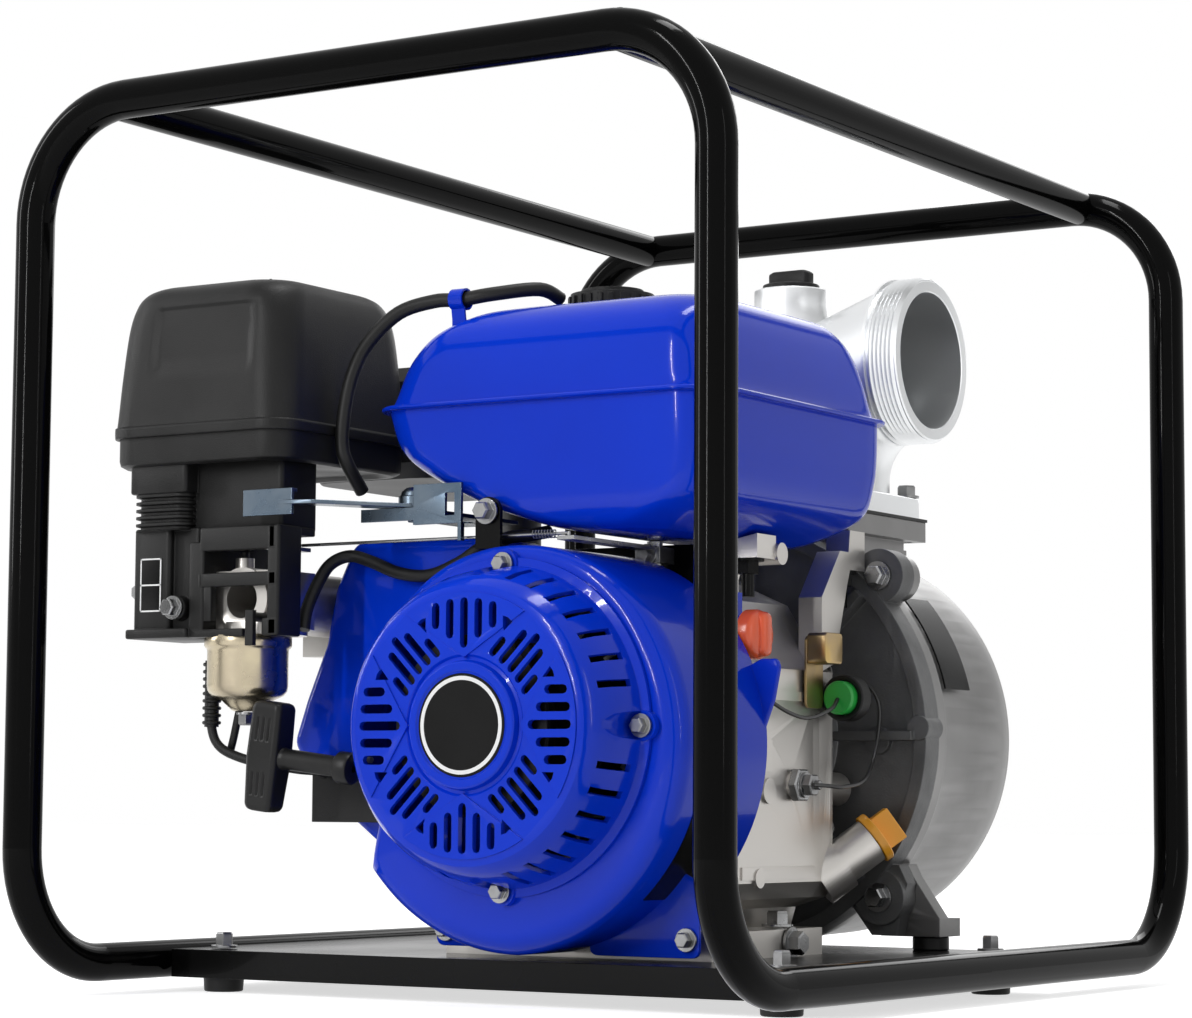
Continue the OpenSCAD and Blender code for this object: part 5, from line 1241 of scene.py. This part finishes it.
@dataclass
class Plates:
    """The shield above the crankcase and the bare plates on the casing and the shroud."""

    shield: tuple[float, ...] = (-86, 104, -63, -61, 246, 285.5)
    # how far outside the wall or the crankshaft's axis, first and last angle, front and back
    casing_plate: tuple[float, ...] = (141.3, 13, 41, 112, 148)
    shroud_plate: tuple[float, ...] = (0.4, -52, -24, -176, -124)

    def build(self) -> None:
        """Makes the three plates."""
        bm = bmesh.new()
        add_block(bm, *self.shield, 0.8)
        place_piece(bm, "upper_shield", "frame", PLATE_BLACK)
        self.patch("casing_plate", self.casing_plate, lambda degrees: 0.0)
        self.patch("shroud_plate", self.shroud_plate, Shroud().radius)

    def patch(self, name: str, sizes: Sequence[float], wall: Callable[[float], float]) -> None:
        """Lays a thin bare plate on a curved wall.

        Args:
            name: the piece's name.
            sizes: how far it stands outside the wall, first and last angle, front and back.
            wall: gives the wall's radius at an angle.
        """
        proud, a0, a1, y0, y1 = sizes
        bm = bmesh.new()
        rings = []
        for degrees in (a0 + (a1 - a0) * k / 24 for k in range(25)):
            x, z = polar(1, degrees)
            r = wall(degrees) + proud
            rings.append([CRANK + Vector((x * q, y, z * q)) for q, y in
                          ((r - 1, y0), (r + 0.2, y0), (r + 0.2, y1), (r - 1, y1))])
        add_loft(bm, rings)
        place_piece(bm, name, "frame", LABEL_BLACK)


# ---------------------------------------------------------------- recoil starter
@dataclass
class RecoilStarter:
    """The slotted cover with its label disc, and the handle of the starter rope."""

    disc_y: float = -251.6
    disc: tuple[Flat, ...] = ((0, -0.4), (30.6, -0.4), (30.6, 0.3), (30.3, 0.6), (0, 0.6))
    print_ring: tuple[Flat, ...] = ((26.6, 0.4), (26.6, 0.68), (29, 0.68), (29, 0.4))
    grip: Point = (-126.5, -227.0, 149.5)
    tip_down: float = 7.0
    grip_half: float = 34.0
    grip_w: float = 12.0
    grip_d: float = 10.0
    stem_end: float = 56.0
    grooves: tuple[float, ...] = (-4.4, 0, 4.4)

    def build(self) -> None:
        """Makes the cover, the disc and the handle."""
        bevelled_node("recoil_cover", 1.0, ROYAL_BLUE, 28)
        ahead = facing(CRANK + Vector((0, self.disc_y, 0)), AHEAD)
        turned_piece(self.disc, ahead, 96, False, "label_disc", LABEL_BLACK)
        turned_piece(self.print_ring, ahead, 96, True, "label_ring", RING_WHITE)
        self.handle()

    def grip_ring(self, place: Matrix, h: float) -> list[Vector]:
        """Gives one ring of the grip, with the finger grooves pressed into its front.

        Args:
            place: where the grip stands.
            h: the height from its middle.

        Returns:
            The points.
        """
        share = abs(h) / self.grip_half
        end = max(0.0, (share - 0.86) / 0.14)
        drawn = 3.2 * (1 - math.sqrt(max(0.0, 1 - end**2))) + 0.7 * share + (1.1 if h < 0 else 0) * share
        w, d = self.grip_w - drawn, self.grip_d - drawn * 0.8
        ring = []
        for p in rounded_ring(-w, w, -d, d, min(4.0, d - 0.6), h, 6, 40):
            depth = 0.0
            if p.y < 0.5 - d:
                along = smooth_step(min(abs(h) - 9, 25 - abs(h)) / 1.5)
                depth = 1.1 * along * sum(math.exp(-(((p.x - g) / 0.8) ** 2)) for g in self.grooves)
            ring.append(place @ Vector((p.x, p.y + depth, p.z)))
        return ring

    def handle(self) -> None:
        """Makes the grip with its grooves, and the stem with its collar."""
        place = Matrix.Translation(Vector(self.grip)) @ Matrix.Rotation(math.radians(self.tip_down), 4, "Y")
        bm = bmesh.new()
        count = 96
        add_loft(bm, [self.grip_ring(place, self.grip_half * (2 * k / count - 1)) for k in range(count + 1)])
        end = self.stem_end
        stem = [(0, 4), (8.4, 4), (8.4, 9.5), (7, 12), (6.5, 15)]
        collar = ((6.5, -2), (7.4, -1), (9.2, -0.8), (10, 0), (10, 8), (9.2, 9.4), (7.5, 10), (2.4, 10),
                  (2.4, 6), (0, 6))
        add_lathe(bm, stem + [(r, end + h) for r, h in collar],
                  place @ Matrix.Rotation(math.radians(90), 4, "Y"), 40)
        place_piece(bm, "handle_shell", "handle", HANDLE_BLACK, 40, "recoil_handle")


# ---------------------------------------------------------------- geometry nodes
def node_tree(name: str, sizes: Sequence[str]) -> tuple[bpy.types.NodeTree, dict[str, str]]:
    """Starts a geometry node group.

    Args:
        name: the group's name.
        sizes: the name of each input that is a number; the last input is the material.

    Returns:
        The group, and the identifier of each input.
    """
    tree = bpy.data.node_groups.new(name, "GeometryNodeTree")
    tree.interface.new_socket(name="Geometry", in_out="INPUT", socket_type="NodeSocketGeometry")
    kinds = {**dict.fromkeys(sizes, "NodeSocketFloat"), "Material": "NodeSocketMaterial"}
    keys = {label: tree.interface.new_socket(name=label, in_out="INPUT", socket_type=kind).identifier
            for label, kind in kinds.items()}
    tree.interface.new_socket(name="Geometry", in_out="OUTPUT", socket_type="NodeSocketGeometry")
    tree.nodes.new("NodeGroupInput").name = "In"
    tree.nodes.new("NodeGroupOutput").name = "Out"
    return tree, keys


def close_tree(tree: bpy.types.NodeTree, geometry: bpy.types.NodeSocket) -> None:
    """Ends a geometry node group with real, painted geometry."""
    real = add_node(tree, "GeometryNodeRealizeInstances", {"Geometry": geometry})
    coat = add_node(tree, "GeometryNodeSetMaterial",
                    {"Geometry": real.outputs[0], "Material": tree.nodes["In"].outputs["Material"]})
    feed(tree.nodes["Out"], {"Geometry": coat.outputs[0]})


def thread_group() -> tuple[bpy.types.NodeTree, dict[str, str]]:
    """Builds the group that winds a thread about the Z axis.

    Returns:
        The group and its input identifiers.
    """
    tree, keys = node_tree("Thread", ("Radius", "Length", "Turns", "Depth"))
    entry = tree.nodes["In"].outputs
    spiral = add_node(tree, "GeometryNodeCurveSpiral", {
        "Resolution": 72, "Start Radius": entry["Radius"], "End Radius": entry["Radius"],
        "Height": entry["Length"], "Rotations": entry["Turns"]})
    level = add_node(tree, "GeometryNodeSetCurveNormal", {"Curve": spiral.outputs["Curve"]}, mode="Z_UP")
    ridge = add_node(tree, "GeometryNodeCurvePrimitiveCircle", {"Resolution": 4, "Radius": entry["Depth"]})
    sweep = add_node(tree, "GeometryNodeCurveToMesh", {
        "Fill Caps": True, "Curve": level.outputs["Curve"], "Profile Curve": ridge.outputs["Curve"]})
    close_tree(tree, sweep.outputs["Mesh"])
    return tree, keys


def bolt_group() -> tuple[bpy.types.NodeTree, dict[str, str]]:
    """Builds the group that stands a flanged hexagon bolt on each point, along its axis attribute.

    Returns:
        The group and its input identifiers.
    """
    tree, keys = node_tree("Bolts", ("Head Radius", "Head Height", "Washer Radius", "Washer Height"))
    entry = tree.nodes["In"].outputs
    parts = add_node(tree, "GeometryNodeJoinGeometry")
    chamfer = add_node(tree, "ShaderNodeMath", {0: entry["Head Radius"], 1: 0.86}, operation="MULTIPLY")
    for part, sides, top in (("Head", 6, None), ("Washer", 32, None), ("Head", 6, chamfer.outputs[0])):
        radius = entry[part + " Radius"]
        cone = add_node(tree, "GeometryNodeMeshCone", {
            "Vertices": sides, "Radius Bottom": radius, "Radius Top": top or radius,
            "Depth": entry[part + " Height"]})
        piece = cone.outputs["Mesh"]
        if top:
            lift = add_node(tree, "ShaderNodeCombineXYZ", {"Z": entry["Head Height"]})
            piece = add_node(tree, "GeometryNodeTransform", {
                "Translation": lift.outputs[0], "Scale": (1.0, 1.0, 0.16), "Geometry": piece}).outputs[0]
        feed(parts, {"Geometry": piece})
    axis = add_node(tree, "GeometryNodeInputNamedAttribute", {"Name": "axis"}, data_type="FLOAT_VECTOR")
    align = add_node(tree, "FunctionNodeAlignRotationToVector", {"Vector": axis.outputs["Attribute"]})
    stand = add_node(tree, "GeometryNodeInstanceOnPoints", {
        "Points": entry["Geometry"], "Instance": parts.outputs["Geometry"],
        "Rotation": align.outputs["Rotation"]})
    close_tree(tree, stand.outputs["Instances"])
    return tree, keys


def grown_mesh(base: bpy.types.Mesh, group: tuple[bpy.types.NodeTree, dict[str, str]],
               values: dict[str, object], turn: Matrix) -> bmesh.types.BMesh:
    """Runs a geometry node group over a mesh and keeps the result.

    Args:
        base: the mesh that goes in.
        group: the node group and its input identifiers.
        values: the value of each named input.
        turn: where the result is placed, in metres.

    Returns:
        The result, ready to be placed as a piece.
    """
    tree, keys = group
    holder = linked(base.name, base)
    modifier = holder.modifiers.new("Nodes", "NODES")
    modifier.node_group = tree
    for label, value in values.items():
        modifier[keys[label]] = value
    bpy.context.view_layer.update()
    mesh = bpy.data.meshes.new_from_object(holder.evaluated_get(bpy.context.evaluated_depsgraph_get()))
    bpy.data.objects.remove(holder)
    mesh.transform(turn)
    bm = bmesh.new()
    bm.from_mesh(mesh)
    bpy.data.meshes.remove(mesh)
    return bm


THREAD = thread_group()
BOLTS = bolt_group()


def thread_piece(name: str, start: Point, direction: Point, radius: float, length: float, pitch: float,
                 depth: float) -> None:
    """Winds a pipe thread round a collar.

    Args:
        name: the piece's name.
        start: the middle of the thread's first turn, in millimetres.
        direction: where it runs.
        radius: the radius at half its depth, in millimetres.
        length: its length.
        pitch: the distance from turn to turn.
        depth: half its height, as the ridge is buried to the half.
    """
    values = {"Radius": radius * MM, "Length": length * MM, "Turns": length / pitch, "Depth": depth * MM,
              "Material": BRIGHT_ALU.material()}
    bm = grown_mesh(bpy.data.meshes.new(name), THREAD, values, facing(metres(start), direction))
    place_piece(bm, name, "frame", BRIGHT_ALU, 25)


def bolt_piece(name: str, places: Sequence[tuple[Point, Point]], flats: float, height: float, washer: float,
               replaced: str = "") -> None:
    """Stands a set of equal bolt heads.

    Args:
        name: the piece's name.
        places: the seat of each head in millimetres, and its direction.
        flats: the width across flats.
        height: the height of the head.
        washer: the radius of the washer face.
        replaced: the CAD node that the set stands for.
    """
    base = bpy.data.meshes.new(name)
    ways = [Vector(way).normalized() for _, way in places]
    seats = [metres(seat) for seat, _ in places]
    base.from_pydata([seat + way * WASHER_HEIGHT * MM / 2 for seat, way in zip(seats, ways)], [], [])
    axis = base.attributes.new("axis", "FLOAT_VECTOR", "POINT")
    for row, way in zip(axis.data, ways):
        row.vector = way
    values = {"Head Radius": flats / math.sqrt(3) * MM, "Head Height": (height + WASHER_HEIGHT) * MM,
              "Washer Radius": washer * MM, "Washer Height": WASHER_HEIGHT * MM, "Material": ZINC.material()}
    bm = grown_mesh(base, BOLTS, values, Matrix.Identity(4))
    place_piece(bm, name, "frame", ZINC, 25, replaced)


# ---------------------------------------------------------------- bolts
@dataclass
class Fasteners:
    """All the bolts that show, in sets of equal size, placed from the crankshaft except on the plate."""

    recoil_r: float = 98.0
    recoil_y: float = -208.1
    ear_r: float = 149.0
    ear_faces: tuple[float, float] = (78.0, 107.4)

    # on the plate: half the distance across, front row, back row, height
    feet: tuple[float, ...] = (205.0, -170.0, 110.0, 27.0)
    # beside and below the crankshaft, and how far back
    shroud_feet: tuple[Point, ...] = ((96, -152.1, -126), (-78, -152.1, -124))
    engine_feet: tuple[Point, ...] = ((-81, -110, -123), (-81, -15, -123), (81, -110, -123), (81, -15, -123))
    drain: Point = (97, -28, -131.5)
    neck: Point = (10, 165, 169.2)
    neck_half: float = 48.0
    ear: Point = (12, -192.2, 299)
    case_y: float = 33.0
    case: tuple[Flat, ...] = (
        (88, -60), (87, -8), (87, 40), (20, 97), (-66, 76), (-70, 0), (-64, -90), (10, -117),
    )

    def build(self) -> None:
        """Makes the sets."""
        x, y0, y1, z = self.feet
        bolt_piece("foot_bolt_heads", [((i, j, z), UP) for i in (-x, x) for j in (y0, y1)], 10, 7, 8.5,
                   "foot_bolts")
        recoil = self.ring(self.recoil_r, 0, self.recoil_y, AHEAD) + self.about_crank(self.shroud_feet, AHEAD)
        bolt_piece("recoil_bolts", recoil, 8.5, 4.6, 7, "shroud_bolts")
        engine = self.about_crank(self.engine_feet, UP) + self.about_crank([self.drain], RIGHT)
        bolt_piece("engine_foot_bolts", engine, 13, 7, 10, "engine_bolts")
        front, back = self.ear_faces
        ears = self.ring(self.ear_r, 45, front, AHEAD) + self.ring(self.ear_r, 45, back, BACK)
        bolt_piece("ear_bolts", ears, 12, 6, 9.5)
        half = (-self.neck_half, self.neck_half)
        neck = [Vector(self.neck) + Vector((i, j, 0)) for i in half for j in half]
        bolt_piece("neck_bolts", self.about_crank(neck, UP), 12, 6, 9)
        bolt_piece("ear_bolt", [(self.ear, AHEAD)], 10, 6, 8)
        case = self.about_crank([(x, self.case_y, z) for x, z in self.case], BACK)
        bolt_piece("case_bolts", case, 8, 5, 7)

    def about_crank(self, places: Iterable[Point], way: Point) -> list[tuple[Point, Point]]:
        """Gives places measured from the crankshaft, all facing one way."""
        return [(CRANK + Vector(place), way) for place in places]

    def ring(self, r: float, start: float, y: float, way: Point) -> list[tuple[Point, Point]]:
        """Gives four places on a circle about the crankshaft."""
        flat = [polar(r, start + 90 * k) for k in range(4)]
        return self.about_crank([(x, y, z) for x, z in flat], way)


# ---------------------------------------------------------------- discharge elbow and inlet
@dataclass
class Pipework:
    """The cast elbow with its flange, boss and threaded mouth, and the thread of the inlet."""

    neck: tuple[float, float] = (45.0, 165.0)
    flange_z: float = 322.2
    bend_z: float = 346.2
    bend_r: float = 80.0
    skin: float = 53.0
    bore: float = 47.0
    root: float = 55.4
    crest: float = 57.15
    plug: tuple[float, float] = (27.0, 483.0)
    plug_r: float = 26.0
    pitch: float = 3.175
    # the inlet above the crankshaft
    rise: float = 50.0
    inlet_y: float = 248.2
    inlet_r: float = 71.15

    def build(self) -> None:
        """Makes the elbow and both threads."""
        self.elbow()
        mouth_x, axis_z = 137.0, self.bend_z + self.bend_r
        half = self.crest - self.root
        thread_piece("outlet_thread", (mouth_x - 20.5, self.neck[1], axis_z), RIGHT, self.root, 19.0,
                     self.pitch, half)
        thread_piece("inlet_thread", CRANK + Vector((0, 262, self.rise)), BACK, self.root, 30.0,
                     self.pitch, half)
        self.inlet()

    def route(self, r: float) -> list[list[Vector]]:
        """Gives the rings of a skin of one radius, from the flange to the mouth."""
        x, y = self.neck
        rings = []
        turns = [2 * math.pi * k / 72 for k in range(72)]
        for z in (self.flange_z, self.flange_z + 8, self.flange_z + 16):
            rings.append([Vector((x + r * math.cos(t), y + r * math.sin(t), z)) for t in turns])
        for k in range(25):
            a = math.radians(90 * k / 24)
            centre = Vector((x + self.bend_r * (1 - math.cos(a)), y, self.bend_z + self.bend_r * math.sin(a)))
            out = Vector((math.cos(a), 0, -math.sin(a)))
            rings.append([centre + out * r * math.cos(t) + Vector((0, r * math.sin(t), 0)) for t in turns])
        return rings

    def elbow(self) -> None:
        """Makes the casting: flange, neck, bend, mouth and the plug's boss."""
        bm = bmesh.new()
        outer = self.route(self.skin)
        inner = self.route(self.bore)
        x = self.neck[0] + self.bend_r

        def mouth(r: float, at: float) -> list[Vector]:
            """Gives a ring of the mouth at a distance along X."""
            axis = Vector((at, self.neck[1], self.bend_z + self.bend_r))
            turns = (2 * math.pi * k / 72 for k in range(72))
            return [axis + Vector((0, r * math.sin(t), -r * math.cos(t))) for t in turns]

        edge = [mouth(self.skin, x - 14), mouth(self.root + 1.9, x - 13), mouth(self.root + 1.9, x - 11.4),
                mouth(self.root, x - 10.4), mouth(self.root, x + 11), mouth(self.root - 1, x + 12),
                mouth(self.bore + 0.6, x + 12), mouth(self.bore, x + 11.4)]
        keep = [ring for ring in outer if max(p.x for p in ring) < x - 15]
        add_loft(bm, keep + edge + inner[::-1], joined=True)
        nx, y = self.neck
        half = 58.0
        rows = ((0, 0.8), (0, 0), (1.2, 0), (12.8, 0), (13.6, 0.5), (14, 1.2))
        low = self.flange_z
        rings = [rounded_ring(nx - half + d, nx + half - d, y - half + d, y + half - d, 13, low + h, 8, 6)
                 for h, d in rows]
        middle = Vector((nx, y, 0))
        inside = [[middle + Vector((0, 0, r[0].z)) + (Vector((p.x, p.y, 0)) - middle).normalized() * self.bore
                   for p in r] for r in (rings[-1], rings[0])]
        add_loft(bm, rings + inside, joined=True)
        px, top = self.plug
        boss = ((14.2, -30), (14.2, -0.6), (14.8, 0), (24.8, 0), (25.6, -0.4), (self.plug_r, -1.2),
                (self.plug_r, -12), (27.5, -20), (31, -30), (36, -40), (20, -42))
        add_lathe(bm, [(r, top + h) for r, h in boss], Matrix.Translation((px, y, 0)), 64, closed=True)
        place_piece(bm, "elbow_shell", "frame", BRIGHT_ALU, 40, "discharge_elbow")

    def inlet(self) -> None:
        """Makes the inlet flange with the collar under its thread."""
        place = facing(CRANK + Vector((0, self.inlet_y, self.rise)), BACK)
        rim = self.inlet_r
        bore, root = self.bore, self.root
        profile = [(bore, 0.4), (bore + 0.6, 0), (rim - 0.75, 0), (rim, 0.8), (rim, 11), (rim - 0.95, 12),
                   (root + 4, 12), (root, 13.4), (root, 44.8), (root - 1, 45.8), (bore + 0.6, 45.8),
                   (bore, 45.2)]
        turned_piece(profile, place, 96, True, "inlet_shell", BRIGHT_ALU, 40,
                     replaced="inlet_flange")
        ring = [polar(rim - 5, 45 + 90 * k) for k in range(4)]
        seats = [(CRANK + Vector((x, self.inlet_y + 12, self.rise + z)), BACK) for x, z in ring]
        bolt_piece("inlet_bolts", seats, 10, 6, 6.5)


# ---------------------------------------------------------------- float bowl
@dataclass
class Carburettor:
    """The zinc-plated float bowl below the carburettor."""

    centre: Flat = (-157.0, -211.0)
    bowl: tuple[Flat, ...] = (
        (0, 226), (27, 226), (27.6, 225.2), (27.6, 219.4), (27, 218.2), (26, 217.4), (25.6, 216), (25.6, 194),
        (25, 190.8), (22.8, 188), (19.5, 186.4), (16, 184.8), (12.6, 181.4), (10, 179), (8.6, 178.2),
        (0, 178.2),
    )

    def build(self) -> None:
        """Makes the bowl with its flange, and the hexagon bolt below it."""
        turned_piece(self.bowl, Matrix.Translation((*self.centre, 0)), 64, False, "bowl_shell",
                     YELLOW_ZINC, 50, body_of("float_bowl"), "float_bowl")
        bolt_piece("bowl_bolt", [((*self.centre, 178.4), DOWN)], 10, 5.5, 6.6)


# ---------------------------------------------------------------- switch and oil alarm
@dataclass
class Electrics:
    """The red switch and the oil alarm with its connector and level sender."""

    knob: Point = (132.3, -83.0, 226.0)
    knob_profile: tuple[Flat, ...] = (
        (0, 0), (14.6, 0), (15.5, 0.9), (15.5, 7.4), (14.8, 9.4), (12.6, 11.4), (9, 12.4), (0, 12.6),
    )
    # height, half width, half length
    knob_bar: tuple[tuple[float, ...], ...] = (
        (7, 6.4, 14.6), (9.5, 6.2, 14.4), (13, 5.6, 13.8), (14.8, 4.8, 12.8), (15.8, 3.2, 11), (16, 1.4, 9),
    )
    box: tuple[float, ...] = (133.8, 148.0, -9.0, 14.0, 211.0, 231.0)
    plate: Point = (132.3, 2, 206)
    plug: Point = (145.0, 18.0, 190.0)
    plug_ring: tuple[Flat, ...] = (
        (11.2, 0.4), (11.8, 0), (14.2, 0), (15, 0.8), (15, 11.2), (14.2, 12), (11.8, 12), (11.2, 11.4),
    )
    plug_core: tuple[Flat, ...] = ((0, -6), (9.6, -6), (10.8, -4.8), (10.8, 8.6), (10, 9.2), (0, 9.2))
    sender: Point = (131.6, -19.0, 134.0)
    # the facets of each part of the sender, and its profile
    sender_parts: tuple[tuple[int, tuple[Flat, ...]], ...] = (
        (6, ((0, 0), (10.6, 0), (11.5, 0.8), (11.5, 5), (10.4, 6), (0, 6))),
        (40, ((0, 5), (8, 5), (8, 8), (0, 8))),
        (6, ((0, 8), (6.8, 8), (7.5, 8.8), (7.5, 13), (6.6, 14), (0, 14))),
        (24, ((0, 13), (3, 13), (3, 17.5), (2.4, 18), (0, 18))),
    )

    def build(self) -> None:
        """Makes the knob, the alarm box with its plate, the connector and the sender."""
        bm = bmesh.new()
        add_lathe(bm, self.knob_profile, facing(self.knob, RIGHT), 64)
        add_bars(bm, [(*row, 0) for row in self.knob_bar], quarter_turn(self.knob), 6)
        place_piece(bm, "knob_shell", "switch", RED_PLASTIC, 40, "switch_knob")
        self.alarm_box()
        ahead = facing(self.plug, BACK)
        turned_piece(self.plug_ring, ahead, 48, True, "connector_ring", BLACK_PLASTIC, 40)
        turned_piece(self.plug_core, ahead, 48, False, "connector_core", GREEN_PLASTIC, 40)
        bm = bmesh.new()
        for facets, profile in self.sender_parts:
            add_lathe(bm, profile, facing(self.sender, RIGHT), facets)
        place_piece(bm, "level_sender", "frame", ZINC, 30)

    def alarm_box(self) -> None:
        """Makes the box of the oil alarm and the plate that holds it."""
        bm = bmesh.new()
        x0, x1, y0, y1, z0, z1 = self.box
        side = quarter_turn((x0, (y0 + y1) / 2, (z0 + z1) / 2))
        w, l, far = (z1 - z0) / 2, (y1 - y0) / 2, x1 - x0
        rows = ((0, 1.4), (0.4, 0.4), (1.4, 0), (far - 1.4, 0), (far - 0.4, 0.4), (far, 1.4))
        add_loft(bm, [[side @ p for p in rounded_ring(-w + d, w - d, -l + d, l - d, 3 - d, h, 5, 3)]
                      for h, d in rows])
        add_rings(bm, (-23, 23, -11, 11), 4, ((0, 0), (1.6, 0)), 5, 3, quarter_turn(self.plate))
        place_piece(bm, "alarm_box", "frame", GOLD_ZINC, 40, "oil_alert_unit")


# ---------------------------------------------------------------- everything else, still as the CAD has it
@dataclass
class PlainNodes:
    """The CAD nodes that stay and take a better material."""

    bevels: tuple[tuple[str, float], ...] = (
        ("base_plate", 0.9), ("pump_casing", 2.6), ("pump_adapter", 1.4), ("crankcase", 1.4),
        ("side_cover", 1.6), ("control_plate", 0.6), ("throttle_lever", 0.5), ("carburettor", 1.0),
        ("lower_shield", 1.2), ("switch_box", 0.6), ("tank_cap", 0.6), ("oil_cap", 1.2),
        ("priming_plug", 1.2), ("governor_arm", 0.4), ("valve_cover", 1.5), ("muffler", 2.0),
        ("rubber_mounts", 1.2), ("discharge_gasket", 0.4), ("choke_lever", 0.4), ("fuel_lever", 0.5),
    )
    special: tuple[tuple[str, Finish], ...] = (
        ("base_plate", PLATE_BLACK), ("control_plate", BLUE_ZINC), ("throttle_lever", BLUE_ZINC),
        ("pump_casing", SATIN_ALU_PAINTED_SHADE), ("tank_brackets", PLATE_BLACK),
    )

    def build(self) -> None:
        """Paints every node, and rounds the edges of those that are named."""
        widths, finishes = dict(self.bevels), dict(self.special)
        for node in sorted(frame["nodes"]):
            if frame["nodes"][node].hide_render:
                continue
            finish = finishes.get(node, BY_SLOT[SLOT_OF[node]])
            if node in widths:
                bevelled_node(node, widths[node], finish)
            else:
                paint(frame["nodes"][node], finish)
        LOG.info("painted %d nodes", len(frame["nodes"]))


def main() -> None:
    """Builds the studio and the sub-assemblies in order."""
    logging.basicConfig(level=logging.INFO, format="%(name)s: %(message)s")
    Studio().build()
    Plumbing().build()
    FuelTank().build()
    AirCleaner().build()
    Shroud().build()
    Plates().build()
    RecoilStarter().build()
    Pipework().build()
    Carburettor().build()
    Electrics().build()
    Fasteners().build()
    PlainNodes().build()


if __name__ == "__main__":
    main()
